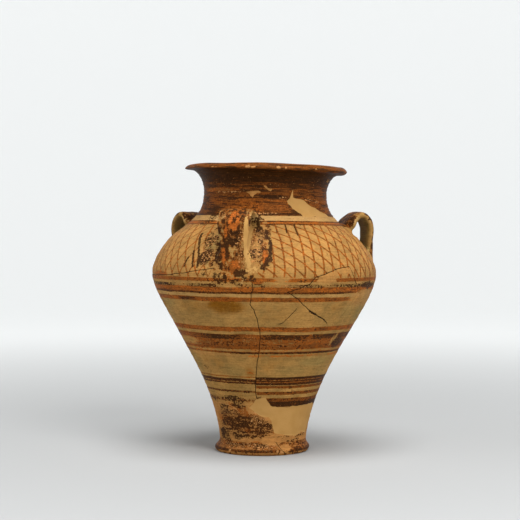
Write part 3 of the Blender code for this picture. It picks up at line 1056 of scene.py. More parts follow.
def mark_lines(surface, lines, relief):
    """Fills the crack, fill and blotch layers from the cut lines, and returns the offsets across breaks."""
    index = np.flatnonzero(surface.wall)
    points = surface.points[index]
    crack = np.zeros(len(index))
    step = np.zeros(len(index))
    for number, line in enumerate(lines["breaks"]):
        distance, side = line_distance(points, as_array(line))
        crack = np.maximum(crack, 1 - distance / relief.crack_half_width)
        step += side * BREAK_STEPS[number % 2] * np.exp(-distance / BREAK_STEP_REACH)
    surface.layers["crack"][index] = np.clip(crack, 0, 1)
    for kind, layer_name in (("fills", "fill"), ("flakes", "bare")):
        for line in lines[kind]:
            corners = as_array(line)
            distance = line_distance(points, corners)[0]
            inside = inside_outline(surface.bearing[index], surface.height[index], corners)
            surface.strengthen(layer_name, index, np.clip(distance / relief.fill_edge, 0, 1) * inside)
    for layer_name, width, line in lines["strokes"]:
        distance = line_distance(points, as_array(line))[0]
        surface.strengthen(layer_name, index, np.clip(STROKE_STRENGTH * (1 - distance / width), 0, 1))
    offsets = np.zeros(len(surface.points))
    offsets[index] = step
    return offsets


def inside_outline(bearing, height, corners):
    """Which points lie inside a closed outline, by how often a level line from them crosses it."""
    inside = np.zeros(len(bearing), dtype=bool)
    corner_bearings = np.degrees(np.arctan2(corners[:, 0], -corners[:, 1]))
    middle = corner_bearings[0]
    bearing = degrees_between(bearing, middle)
    corners = list(zip(degrees_between(corner_bearings, middle), corners[:, 2] * 1000))
    for (start_x, start_y), (end_x, end_y) in zip(corners, corners[1:]):
        if start_y == end_y:
            continue
        between = (height > start_y) != (height > end_y)
        crossing = start_x + (height - start_y) / (end_y - start_y) * (end_x - start_x)
        inside ^= between & (bearing < crossing)
    return inside


def bumps(points, grain, shift=(0, 0, 0)):
    """Smooth noise at each point. A larger grain makes finer bumps."""
    moved = Vector(shift)
    return np.array([noise.noise(Vector(point) * grain + moved) for point in points])


def fade(value, low, low_fade, high, high_fade):
    """0 up to low and from high on, 1 between, with a smooth rise and fall."""
    return smooth_step((value - low) / low_fade) * (1 - smooth_step((value - high) / high_fade))


def throwing_marks(surface, relief):
    """Slow unevenness of the whole pot, and the ridges that the potter's fingers left."""
    height = surface.height
    slow = bumps(surface.points, 14, (3, 5, 7))
    small = bumps(surface.points, 55, (9, 1, 4))
    rise = (slow * 2 + small * 0.35) * relief.wobble * smooth_step(height / STILL_FOOT)
    spiral = np.radians(surface.bearing) / math.tau
    inner_start, inner_fade = INNER_RIDGES
    for waves, strength in (
        (NECK_WAVES, relief.neck_ridge * fade(height, *NECK_RIDGES) * surface.wall),
        (BODY_WAVES, relief.body_ridge * fade(height, *BODY_RIDGES) * surface.wall),
        (INNER_WAVES, relief.inner_ridge * smooth_step((height - inner_start) / inner_fade) * surface.hollow),
    ):
        for pitch, turns, share, part in waves:
            rise += part * strength * np.sin(math.tau * (height / pitch + turns * spiral + share * slow))
    return rise


def strap_marks(surface, table):
    """Dents and a shallow groove along each strap, and the thicker inner faces at the sides."""
    strap = surface.layers["strap"]
    face = surface.layers["strap_face"]
    rise = np.zeros(len(strap))
    rise[strap > 0.3] = bumps(surface.points[strap > 0.3], 95) * STRAP_DENT
    groove = np.exp(-(surface.layers["strap_across"] / STRAP_GROOVE_WIDTH) ** 2)
    rise -= STRAP_GROOVE * groove * (strap > 0.6) * (face > 0.4)
    away = table.stand_off(surface.radius / 1000, surface.height / 1000)
    inner_face = np.clip(0.4 - face, 0, 1) * smooth_step((strap - 0.5) / 0.4)
    inner_face *= smooth_step((away - 0.002) / 0.012)
    for bearing, thicker in THICKER_STRAPS:
        near = np.clip(np.cos(np.radians(degrees_between(surface.bearing, bearing)) * 2), 0, 1)
        rise += inner_face * near * thicker
    return rise


def pull_clay(surface):
    """Moves the clay around each pulled place outward and upward."""
    for bearing, radius, height, reach, outward, upward in PULLS:
        share = 1 - smooth_step(surface.distance(polar(bearing, radius, height)) / reach)
        surface.points += share[:, None] * np.array(polar(bearing, outward, upward))


def chip_edge(surface, chips, radius, height, drop):
    """Breaks small bites out of a rim."""
    for bearing, size, share in chips:
        distance = surface.distance(polar(bearing, radius, height)) * 1000
        near = distance < CHIP_REACH
        bite = np.zeros(len(distance))
        ragged = bumps(surface.true_points[near], CHIP_GRAIN)
        bite[near] = np.clip(CHIP_STEEPNESS * (1 - distance[near] / (size * (1 + 0.5 * ragged))), 0, 1)
        surface.points -= surface.normals * (bite * drop * share)[:, None]
        surface.layers["chip"] = np.maximum(surface.layers["chip"], bite)


def thicken_lip(surface):
    """The lip is thicker on the right and thinner on the left than the true-running section."""
    zone = surface.layers["zone"]
    right, left = [
        np.clip(np.cos(np.radians(surface.bearing - bearing)), 0, 1) ** 1.5 for bearing in LIP_SIDES
    ]
    upper = LIP_UPPER_RIGHT * right
    for height, waves, start in LIP_WAVES:
        upper += height * np.sin(np.radians(surface.bearing * waves + start))
    under = LIP_UNDER_LEFT * left + LIP_UNDER_RIGHT * right
    surface.points[:, 2] += fade(zone, *LIP_UPPER) * upper + fade(zone, *LIP_UNDER) * under


def model_surface(surface, table, body, relief, offsets):
    """Hand-made unevenness, throwing ridges, lip and foot wear, breaks and fills."""
    rise = throwing_marks(surface, relief) + strap_marks(surface, table) + offsets
    rise -= surface.layers["crack"] * relief.crack_depth
    rise -= surface.layers["fill"] * relief.fill_depth * surface.wall
    for place in WEDGE_GAPS:
        rise -= WEDGE_GAP_DEPTH * (1 - smooth_step(surface.spot_distance(*place))) * surface.wall
    surface.points += surface.normals * rise[:, None]
    pull_clay(surface)
    lip_radius = body.neck_radius + body.lip_overhang
    chip_edge(surface, LIP_CHIPS, lip_radius, body.height - body.lip_tip_drop, relief.chip_depth)
    chip_edge(surface, FOOT_CHIPS, body.foot_radius, body.foot_edge_height, FOOT_CHIP_DEPTH)
    thicken_lip(surface)


# Finish

class Value:
    """A number, colour or vector inside the shader."""

    def __init__(self, recipe, socket):
        self.recipe = recipe
        self.socket = socket

    def __add__(self, other):
        return self.recipe.maths("ADD", self, other)

    def __sub__(self, other):
        return self.recipe.maths("SUBTRACT", self, other)

    def __mul__(self, other):
        return self.recipe.maths("MULTIPLY", self, other)

    def __truediv__(self, other):
        return self.recipe.maths("DIVIDE", self, other)

    def __radd__(self, other):
        return self.recipe.maths("ADD", other, self)

    def __rsub__(self, other):
        return self.recipe.maths("SUBTRACT", other, self)

    def __rmul__(self, other):
        return self.recipe.maths("MULTIPLY", other, self)

    def __rtruediv__(self, other):
        return self.recipe.maths("DIVIDE", other, self)

    def __neg__(self):
        return self.recipe.maths("SUBTRACT", 0.0, self)

    def __abs__(self):
        return self.recipe.maths("ABSOLUTE", self)


class Recipe:
    """Builds a material's nodes."""

    def __init__(self, name):
        self.material = bpy.data.materials.new(name)
        self.material.use_nodes = True
        self.tree = self.material.node_tree
        self.shader = self.tree.nodes["Principled BSDF"]

    def node(self, kind, settings, inputs):
        made = self.tree.nodes.new(kind)
        for name, value in settings.items():
            setattr(made, name, value)
        for name, value in inputs.items():
            self.feed(made.inputs[name], value)
        return made

    def feed(self, socket, value):
        if isinstance(value, Value):
            self.tree.links.new(value.socket, socket)
        else:
            socket.default_value = value

    def value(self, kind, settings, inputs, output=0):
        """One output of a new node."""
        return Value(self, self.node(kind, settings, inputs).outputs[output])

    def maths(self, operation, *values):
        return self.value("ShaderNodeMath", {"operation": operation}, dict(enumerate(values)))

    def highest(self, first, *others):
        for other in others:
            first = self.maths("MAXIMUM", first, other)
        return first

    def attribute(self, name):
        return self.value("ShaderNodeAttribute", {"attribute_name": name}, {}, "Fac")

    def scaled(self, vector, amount):
        """A vector made longer or shorter, or a colour made lighter or darker."""
        return self.value("ShaderNodeVectorMath", {"operation": "SCALE"}, {0: vector, "Scale": amount})

    def place(self):
        """The vertex's place on the true-running jar, in millimetres."""
        place = self.value("ShaderNodeAttribute", {"attribute_name": "true_place"}, {}, "Vector")
        return self.scaled(place, 1000.0)

    def parts(self, vector):
        made = self.node("ShaderNodeSeparateXYZ", {}, {0: vector})
        return [Value(self, socket) for socket in made.outputs]

    def noise(self, place, size, detail, rough, shift):
        """Noise from about -1 to 1. Its features have the given size, or one size for each direction."""
        sizes = size if isinstance(size, tuple) else (size, size, size)
        moved = self.value(
            "ShaderNodeVectorMath", {"operation": "MULTIPLY_ADD"},
            {0: place, 1: tuple(1 / each for each in sizes), 2: (shift, -shift, 2 * shift)},
        )
        inputs = {"Vector": moved, "Scale": 1.0, "Detail": detail, "Roughness": rough}
        return self.value("ShaderNodeTexNoise", {}, inputs, "Fac") * 4.0 - 2.0

    def smooth(self, value, low, high):
        """0 below low, 1 above high, and smooth between. Low may be the greater one."""
        inputs = {"Value": value, "From Min": low, "From Max": high}
        return self.value("ShaderNodeMapRange", {"interpolation_type": "SMOOTHSTEP"}, inputs)

    def clamp(self, value):
        return self.value("ShaderNodeClamp", {}, {0: value})

    def between(self, value, low, high, soft):
        """1 from low to high, with soft edges."""
        return self.smooth(value, low - soft, low + soft) * self.smooth(value, high + soft, high - soft)

    def mix(self, factor, first, second):
        inputs = {0: factor, 6: solid(first), 7: solid(second)}
        return self.value("ShaderNodeMix", {"data_type": "RGBA"}, inputs, 2)

    def covered(self, base, *coats):
        """A colour with others laid over it in turn, each by its own share."""
        for share, tint in coats:
            base = self.mix(share, base, tint)
        return base

    def flaked(self, cover, grain, soft=0.09):
        """Paint where its cover beats the grain of the wear."""
        return self.smooth(cover + grain, 0.5 - soft, 0.5 + soft)

    def degrees_from(self, bearing, centre):
        """Bearing from a centre, between -180 and 180."""
        return self.maths("WRAP", bearing - centre, 180.0, -180.0)

    def band_table(self, height, bands):
        """Thin cover, thick cover and orange share by height, looked up in one row of bands."""
        low = bands[0][0] - BAND_MARGIN
        high = bands[-1][1] + BAND_MARGIN
        made = self.node("ShaderNodeValToRGB", {}, {0: (height - low) / (high - low)})
        stops = band_stops(bands, low, high)
        elements = made.color_ramp.elements
        while len(elements) < len(stops):
            elements.new(0.5)
        for element, (place, values) in zip(elements, stops):
            element.position = place
        for element, (place, values) in zip(elements, stops):
            element.color = (*values, 1.0)
        split = self.node("ShaderNodeSeparateColor", {}, {0: Value(self, made.outputs[0])})
        return [Value(self, socket) for socket in split.outputs]


def solid(colour_value):
    """Colours as the four numbers that a socket takes."""
    return colour_value if isinstance(colour_value, Value) else (*colour_value[:3], 1.0)


BAND_MARGIN = 3.0
BAND_SOFTNESS = 0.5
BARE = (0.0, 0.0, 0.0)
MOST_STOPS = 32


def band_stops(bands, low, high):
    """Ramp stops for bands of paint, each with a soft edge and bare clay between."""
    stops = []
    before = None
    for start, end, *values in bands:
        if before is None or start > before + 0.01:
            if before is not None:
                stops.append((before + BAND_SOFTNESS, BARE))
            stops.append((start - BAND_SOFTNESS, BARE))
        stops.append((start + BAND_SOFTNESS, values))
        stops.append((end - BAND_SOFTNESS, values))
        before = end
    stops.append((before + BAND_SOFTNESS, BARE))
    if len(stops) > MOST_STOPS:
        raise RuntimeError("a row of bands has too many stops")
    return [((place - low) / (high - low), values) for place, values in stops]


# Bands by height in millimetres: lower edge, upper edge, thin paint, thick paint, orange share.
FOOT_BANDS = (
    (0.5, 4.5, 0.46, 0.36, 0.4), (4.5, 8.0, 0.80, 0.62, 0.2), (8.0, 19.0, 0.60, 0.47, 0.4),
)
LOWER_RIGHT_BANDS = (
    (69.0, 76.5, 0.88, 0.76, 0.1), (76.5, 82.0, 0.84, 0.42, 0.2), (86.5, 91.5, 0.76, 0.42, 0.4),
    (91.5, 96.0, 0.22, 0.10, 0.5),
    (96.0, 100.0, 0.80, 0.36, 0.3), (100.5, 104.0, 0.90, 0.74, 0.2), (104.0, 105.3, 0.62, 0.30, 0.5),
    (105.3, 107.4, 0.84, 0.66, 0.2), (107.4, 108.5, 0.55, 0.30, 0.5), (108.5, 112.3, 0.92, 0.80, 0.1),
)
LOWER_LEFT_BANDS = (
    (75.5, 81.0, 0.56, 0.46, 0.4), (89.0, 92.2, 0.64, 0.52, 0.4), (101.5, 104.0, 0.74, 0.60, 0.2),
    (104.0, 105.2, 0.45, 0.30, 0.5), (105.2, 109.2, 0.80, 0.66, 0.2), (111.0, 113.0, 0.60, 0.25, 0.5),
)
MIDDLE_BANDS = (
    (141.0, 144.8, 0.52, 0.12, 0.8), (145.3, 148.4, 0.85, 0.62, 0.2), (148.4, 152.0, 0.46, 0.12, 0.6),
    (152.0, 155.5, 0.76, 0.34, 0.5),
    (155.5, 159.0, 0.66, 0.38, 0.5), (159.0, 166.0, 0.64, 0.31, 0.6), (166.0, 173.0, 0.82, 0.50, 0.3),
    (177.0, 183.5, 0.82, 0.18, 0.5),
)
BELLY_BANDS = (
    (218.5, 224.5, 0.86, 0.22, 0.5), (229.0, 231.8, 0.90, 0.58, 0.3), (231.8, 238.0, 0.86, 0.22, 0.8),
    (238.0, 242.4, 0.46, 0.48, 0.4), (245.3, 250.5, 0.82, 0.30, 0.6),
)
NECK_BANDS = (
    (321.2, 323.4, 0.90, 0.55, 0.3), (323.4, 325.0, 0.60, 0.10, 0.9), (325.0, 327.0, 0.90, 0.58, 0.3),
    (334.0, 338.3, 0.95, 0.62, 0.2), (338.3, 343.0, 0.90, 0.42, 0.4), (343.0, 350.0, 0.90, 0.40, 0.5),
    (350.0, 357.0, 0.86, 0.40, 0.5), (357.0, 364.0, 0.92, 0.48, 0.3), (364.0, 372.0, 0.90, 0.50, 0.3),
    (372.0, 380.0, 0.94, 0.60, 0.3), (380.0, 396.8, 0.98, 0.80, 0.2), (396.8, 412.0, 0.88, 0.46, 0.15),
)


# Noises of the finish: size of their features in millimetres, detail, roughness, shift.
# Streaks are long around the jar and short in height.
NOISES = {
    "slow": (42.0, 1.0, 0.5, 0.0),
    "cloudy": (15.0, 2.0, 0.55, 3.1),
    "flake": ((3.1, 3.1, 2.3), 2.0, 0.62, 7.7),
    "speck": (1.3, 1.0, 0.5, 1.3),
    "streak": ((24.0, 24.0, 1.6), 2.0, 0.5, 5.9),
    "patch": ((12.0, 12.0, 3.6), 2.0, 0.55, 9.4),
    "blot": ((7.5, 7.5, 8.0), 2.0, 0.6, 8.8),
    "fine_streak": ((20.0, 20.0, 0.9), 2.0, 0.55, 6.6),
    "grooves": ((3.0, 3.0, 9.0), 2.0, 0.6, 4.2),
}
# Middles of the three panels between handles, with the left one second, and half their width.
PANEL_CENTRES = (60.0, -56.5, -176.5)
PANEL_HALF = 60.0
# Places along the net's lines on the right panel, read in the photograph, under each line's number:
# millimetres across from the panel's middle, and up the wall from the net's foot.
STEEP_LINES = {
    0: ((-109, 10), (-105, 30), (-100, 50), (-97, 60)),
    1: ((-97, 10), (-93.5, 25), (-90.5, 40), (-87, 50), (-82, 65), (-78, 76)),
    2: ((-82.5, 10), (-79, 26), (-76, 40), (-73.5, 50), (-68, 65), (-62, 80)),
    3: ((-69, 5), (-66, 20), (-62, 36), (-58, 50), (-53, 66), (-47, 84)),
    4: ((-54.5, 5), (-50.5, 22), (-47, 41), (-44, 51), (-39, 66), (-34, 80)),
    5: ((-38.5, 10), (-37, 28), (-32, 45), (-28, 60), (-23, 75)),
    6: ((-25.5, 12), (-22, 35), (-18, 50), (-14, 62), (-9, 78)),
    7: ((-8.5, 20), (-5, 35), (-2, 47), (1, 60)),
    8: ((4, 20), (8, 35), (13, 53), (16, 67)),
}
SLANTING_LINES = {
    -2: ((-105, 19), (-97, 9.5), (-90, 1)),
    -1: ((-103, 37), (-98, 31), (-94, 26), (-91, 22.5), (-82, 14), (-78, 10), (-70, 2)),
    0: ((-100, 47.5), (-91, 42), (-87, 38), (-79, 31.5), (-68, 20), (-58, 11), (-50, 3.5)),
    1: (
        (-91, 58), (-84, 53), (-76, 46.5), (-70, 41.5), (-63, 35), (-57, 29), (-51, 23), (-44, 15),
        (-38, 9),
    ),
    2: (
        (-80, 69), (-75, 66), (-70, 62), (-66, 57.5), (-61, 54), (-56, 50), (-48, 42), (-42, 36),
        (-36, 30), (-27, 20.5), (-20, 12),
    ),
    3: ((-38, 57), (-31, 50), (-22, 38.5), (-13, 27), (-5, 18)),
    4: ((-33, 78), (-27, 71), (-23, 66), (-17, 57), (-10, 50), (-4, 44), (4, 33)),
    5: ((2, 60), (10, 50), (16, 43), (22, 37), (35, 23)),
}
# The net's two families of lines. The right and the back panel follow the places read. On the left one
# the lines are straight: slope, shift and pitch. Then come both spacings and the strength of the paint.
NET_FAMILIES = (
    (STEEP_LINES, -1 / 3.0, -1.3, 17.25, 13.9, 16.4, 0.94),
    (SLANTING_LINES, 1 / 1.55, -73.8, 16.2, 15.3, 13.6, 0.97),
)
NET_HALF_WIDTH = 1.30
NET_SOFTNESS = 0.45
NET_HEIGHTS = (250.8, 321.5)
LEFT_FAINTNESS = 0.36
# The painted ovals around the handles.
OVAL_HEIGHT = 295.0
OVAL_HALF_WIDTH = 41.0
OVAL_HALF_HEIGHT = 43.0
# Level of the clay's gloss, and the height of its grit in metres.
SPECULAR_LEVEL = 0.03
SPECK_GRIT = 0.000025
FLAKE_GRIT = 0.00005


def read_clay(recipe, handles):
    """The places, layers and noises that the finish reads."""
    place = recipe.place()
    x, y, height = recipe.parts(place)
    clay = SimpleNamespace(height=height)
    clay.bearing = recipe.maths("ARCTAN2", x, -y) * math.degrees(1)
    clay.radius = recipe.maths("SQRT", x * x + y * y)
    for name in ("zone", "strap", "strap_across", "strap_face", *MARKS):
        setattr(clay, name, recipe.attribute(name))
    for name, values in NOISES.items():
        setattr(clay, name, recipe.noise(place, *values))
    clay.painted_height = height + clay.slow * 0.4 + clay.cloudy * 0.20 + clay.flake * 0.36
    clay.is_body = recipe.smooth(clay.strap, 0.55, 0.35)
    clay.on_strap = recipe.smooth(clay.strap, 0.25, 0.60)
    clay.strap_outside = recipe.smooth(clay.strap_face, -0.5, 0.1) * clay.on_strap
    clay.strap_inside = recipe.smooth(clay.strap_face, 0.1, -0.5) * clay.on_strap
    clay.strap_edge = recipe.smooth(abs(clay.strap_across), 0.86, 0.98)
    clay.on_neck = recipe.smooth(height, 328.0, 336.0) * clay.is_body
    clay.ovals = []
    for bearing in (0.0, math.degrees(handles.right_bearing), math.degrees(handles.left_bearing)):
        sideways = recipe.degrees_from(clay.bearing, bearing) * clay.radius
        sideways = sideways * (math.radians(1) / OVAL_HALF_WIDTH)
        upward = (height - OVAL_HEIGHT) / OVAL_HALF_HEIGHT
        clay.ovals.append(recipe.maths("SQRT", sideways * sideways + upward * upward))
    clay.coarse = recipe.highest(
        clay.on_strap, recipe.smooth(clay.ovals[0], 1.40, 1.10), recipe.smooth(height, 84.0, 78.0) * 0.4,
    )
    return clay


def band_paint(recipe, clay):
    """Thin cover, thick cover and orange share of the bands. The lower ones differ beside a break."""
    left_side = recipe.smooth(clay.bearing, 9.2, 8.2) * recipe.smooth(clay.bearing, -146.0, -84.0)
    rows = (FOOT_BANDS, LOWER_RIGHT_BANDS, LOWER_LEFT_BANDS, MIDDLE_BANDS, BELLY_BANDS, NECK_BANDS)
    tables = [recipe.band_table(clay.painted_height, bands) for bands in rows]
    sums = []
    for foot, right, left, middle, belly, neck in zip(*tables):
        lower = right * (1.0 - left_side) + left * left_side
        sums.append(foot + lower + middle + belly + neck)
    return sums


def net_terms(across, run):
    return across, run, across * across, across * run, run * run, 1.0


def net_weights(lines):
    """Weights of the net's terms, fitted so that they add up to each line's number all along it."""
    terms = [net_terms(*place) for places in lines.values() for place in places]
    numbers = [number for number, places in lines.items() for place in places]
    return np.linalg.lstsq(np.array(terms), np.array(numbers), rcond=None)[0].tolist()


def net_paint(recipe, clay, oval):
    """Two crossing families of lines in the panels between the handles."""
    panels = []
    for centre in PANEL_CENTRES:
        across = abs(recipe.degrees_from(clay.bearing, centre))
        panels.append(recipe.smooth(across, PANEL_HALF, PANEL_HALF - 1.0))
    left = panels[1]
    centre = sum(panel * bearing for panel, bearing in zip(panels, PANEL_CENTRES))
    across = recipe.degrees_from(clay.bearing, centre) * clay.radius * math.radians(1)
    run = clay.wall_run
    terms = net_terms(across, run)
    width = NET_HALF_WIDTH + clay.cloudy * 0.22 + clay.flake * 0.16
    faint = 1.0 - LEFT_FAINTNESS * left
    families = []
    for lines, slope, shift, pitch, right_spacing, left_spacing, strength in NET_FAMILIES:
        right_count = sum(term * weight for term, weight in zip(terms, net_weights(lines)))
        left_count = (across + run * slope + shift) / pitch
        count_here = right_count * (1.0 - left) + left_count * left
        gap = abs(recipe.maths("FRACT", count_here + 0.5) - 0.5)
        distance = gap * (right_spacing + (left_spacing - right_spacing) * left)
        line = recipe.smooth(distance, width + NET_SOFTNESS, width - NET_SOFTNESS)
        families.append(line * (strength * faint))
    in_net = recipe.between(clay.painted_height, *NET_HEIGHTS, 0.6) * clay.is_body
    in_net = in_net * recipe.smooth(clay.zone, 2.9, 3.0)
    return recipe.highest(*families) * in_net * recipe.smooth(oval, 1.08, 1.14)


def paint_masks(recipe, clay, thin, thick, net, oval, blaze):
    """Where the thin and the thick paint still stand, after wear and flaking."""
    smooth = recipe.smooth
    outer = smooth(clay.zone, 9.3, 8.9) * clay.is_body
    ring = recipe.between(oval, 0.90, 1.10, 0.05) * smooth(clay.height, 256.0, 262.0) * clay.is_body
    ring = ring * smooth(clay.height, 327.0, 322.0)
    front = smooth(clay.ovals[0], 1.14, 0.96) * clay.is_body * smooth(clay.height, 247.0, 258.0)
    thin_cover = recipe.highest(
        thin * outer, net, ring * 0.56, front * 0.56,
        clay.strap_outside * (0.74 - 0.16 * clay.strap_edge), clay.rust,
    )
    thick_cover = recipe.highest(
        thick * (1.0 + clay.thick) * outer, ring * 0.42, front * 0.38,
        clay.strap_outside * (0.52 - 0.06 * clay.strap_edge),
    )
    thick_cover = recipe.highest(thick_cover - blaze * 0.16, clay.blotch)
    level_grain = clay.streak * (0.20 + 0.16 * clay.on_neck) + clay.fine_streak * (0.24 * clay.on_neck)
    level_grain = level_grain + clay.flake * (0.50 - 0.24 * clay.coarse - 0.36 * clay.on_neck)
    strap_grain = clay.grooves * 0.24 + clay.flake * 0.20
    grain = level_grain * clay.is_body + strap_grain * clay.on_strap
    grain = grain + clay.blot * (0.42 * clay.coarse) + clay.speck * 0.16
    thin_grain = grain * (0.42 + 0.42 * clay.coarse) + clay.patch * 0.08
    thin_mask = recipe.flaked(thin_cover - clay.bare, thin_grain, 0.10)
    thick_mask = recipe.flaked(thick_cover - clay.bare, grain + clay.patch * 0.20, 0.07)
    return thin_mask, thick_mask, grain


def ground_colour(recipe, clay, colours):
    """The clay under the paint: mottled, warmer low down, with a pale slip, stains, dirt and pits, and
    painted shade on the straps' inner faces.
    """
    smooth = recipe.smooth
    mottled = smooth(clay.slow * 0.4 + clay.cloudy * 0.6, -0.55, 0.55)
    warmth = smooth(clay.height, 235.0, 262.0) * 0.12 + smooth(clay.height, 88.0, 60.0) * 0.45
    stained = smooth(clay.stain + clay.cloudy * 0.20 + clay.grooves * 0.10, 0.05, 1.15)
    near_front = smooth(clay.ovals[0], 1.30, 1.00)
    # Painted shade: the straps' inner faces are darkened with the dirt colour, less at the front handle and
    # at the edges.
    inside_painted_shade = clay.strap_inside * (0.85 - 0.60 * near_front) * (1.0 - 0.7 * clay.strap_edge)
    # Real dirt spots and dirt on the straps' outer faces, with the painted shade of their inner faces.
    dirt_and_shade = recipe.highest(clay.grime, inside_painted_shade + clay.strap_outside * 0.35)
    pits = smooth(clay.speck * 0.5 + clay.flake * 0.5, 0.45, 0.75)
    return recipe.covered(
        colours.clay_dull,
        (mottled, colours.clay),
        (warmth, colours.clay_warm),
        (recipe.between(clay.height, 326.0, 334.5, 1.5) * 0.32, colours.clay_pale),
        (recipe.between(clay.height, 224.5, 229.0, 0.6) * 0.15, colours.clay_pale),
        (stained, colours.stain),
        (recipe.clamp(dirt_and_shade * (0.8 + clay.cloudy * 0.4)), colours.dirt_and_shade),
        (recipe.clamp(clay.bare) * 0.28, colours.clay_warm),
        (pits * 0.40, colours.stain),
    )


def finish_clay(colours, handles):
    """Buff clay, brown and black paint in bands, net and blotches, with stains, flaking, fills and dirt, and
    painted shade in the straps and the cracks.
    """
    recipe = Recipe("painted_clay")
    smooth = recipe.smooth
    clay = read_clay(recipe, handles)
    oval = recipe.maths("MINIMUM", recipe.maths("MINIMUM", clay.ovals[0], clay.ovals[1]), clay.ovals[2])
    thin, thick, orange = band_paint(recipe, clay)
    net = net_paint(recipe, clay, oval)
    blaze = smooth(clay.rust + clay.grooves * 0.30 + clay.blot * 0.30, 0.85, 1.25)
    thin_mask, thick_mask, grain = paint_masks(recipe, clay, thin, thick, net, oval, blaze)

    orange = orange * 0.7 + clay.patch * 0.40 + clay.flake * 0.35 + clay.blot * (0.35 * clay.coarse)
    orange = orange + clay.fine_streak * (0.3 * clay.on_neck) + clay.streak * 0.20
    thin_paint = recipe.covered(
        colours.brown,
        (recipe.clamp(orange + clay.rust * 0.4 + net * 0.15), colours.orange),
        (blaze * 0.75, colours.blaze),
        (smooth(clay.streak, 0.1, 0.8) * 0.35, colours.black),
    )
    crumbs = recipe.flaked(clay.crumbs, clay.speck * 0.35 + clay.flake * 0.35)
    painted = recipe.covered(
        ground_colour(recipe, clay, colours),
        (thin_mask * (0.90 + clay.patch * 0.08), thin_paint),
        (thick_mask * 0.96, colours.black),
        (crumbs * 0.85, colours.chip),
    )
    tone = clay.flake * 0.20 + clay.streak * 0.18 + clay.patch * 0.12 + clay.speck * 0.10
    tone = tone + clay.fine_streak * 0.10
    filled = smooth(clay.fill + clay.flake * 0.10, 0.35, 0.65)
    filled = recipe.highest(filled, recipe.flaked(clay.plaster, grain * 0.8))
    painted = recipe.covered(
        recipe.scaled(painted, 1.0 + tone * (0.95 + 0.85 * thin_mask)),
        (filled, recipe.mix(smooth(clay.cloudy, -0.8, 0.9) * 0.5, colours.fill, colours.clay)),
        (smooth(clay.chip + clay.flake * 0.16, 0.30, 0.50) * 0.85, colours.chip),
        # Cracks darkened nearly black: dirt in them and painted shade of their grooves.
        (smooth(clay.crack, 0.05, 0.50) * 0.94, colours.seam),
    )

    recipe.feed(recipe.shader.inputs["Base Color"], painted)
    rough = 0.66 - 0.10 * thin_mask - 0.08 * thick_mask + clay.flake * 0.04
    recipe.feed(recipe.shader.inputs["Roughness"], rough)
    recipe.feed(recipe.shader.inputs["Specular IOR Level"], SPECULAR_LEVEL)
    grit = clay.speck * SPECK_GRIT + clay.flake * FLAKE_GRIT
    bump = recipe.value("ShaderNodeBump", {}, {"Strength": 1.0, "Distance": 1.0, "Height": grit})
    recipe.feed(recipe.shader.inputs["Normal"], bump)
    return recipe.material


def shell_object(name, mesh):
    data = bpy.data.meshes.new(name)
    mesh.to_mesh(data)
    mesh.free()
    data.shade_smooth()
    made = bpy.data.objects.new(name, data)
    bpy.context.scene.collection.objects.link(made)
    return made


def settings():
    return bpy.context.scene.three_handled_jar


class MakeJar(Operator):
    """Models the jar's shell, handles, breaks and surface, and gives it its finish"""
    bl_idname = "jar.make_jar"
    bl_label = "Make Jar"

    def execute(self, context):
        jar = settings()
        body = jar.body
        handles = jar.handles
        mesh = throw_body(body)
        lute_handle(mesh, body, handles, 0.0, 0.0)
        lute_handle(mesh, body, handles, math.degrees(handles.right_bearing), 0.0)
        lute_handle(mesh, body, handles, math.degrees(handles.left_bearing), -handles.left_drop)
        table = WallTable(body)
        lines = plan_lines(table)
        cut_surface(mesh, lines, jar.relief)
        bmesh.ops.recalc_face_normals(mesh, faces=mesh.faces)
        made = shell_object("jar_clay", mesh)
        surface = Surface(made.data, table)
        mark_spots(surface)
        offsets = mark_lines(surface, lines, jar.relief)
        model_surface(surface, table, body, jar.relief, offsets)
        surface.points = leaned(surface.points, body, jar.lean)
        surface.store()
        made.data.materials.append(finish_clay(jar.colours, handles))
        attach(made, "root")
        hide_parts("jar")
        return {"FINISHED"}


class MakeStage(Operator):
    """Sets the pale floor, the soft lights and the camera"""
    bl_idname = "jar.make_stage"
    bl_label = "Make Stage"

    def execute(self, context):
        stage = settings().stage
        make_floor(stage)
        make_lights()
        make_camera(stage)
        return {"FINISHED"}


FLOOR_STEPS = 96
BEND_STEPS = 12
GLOW_RADII = (0.25, 2.6)


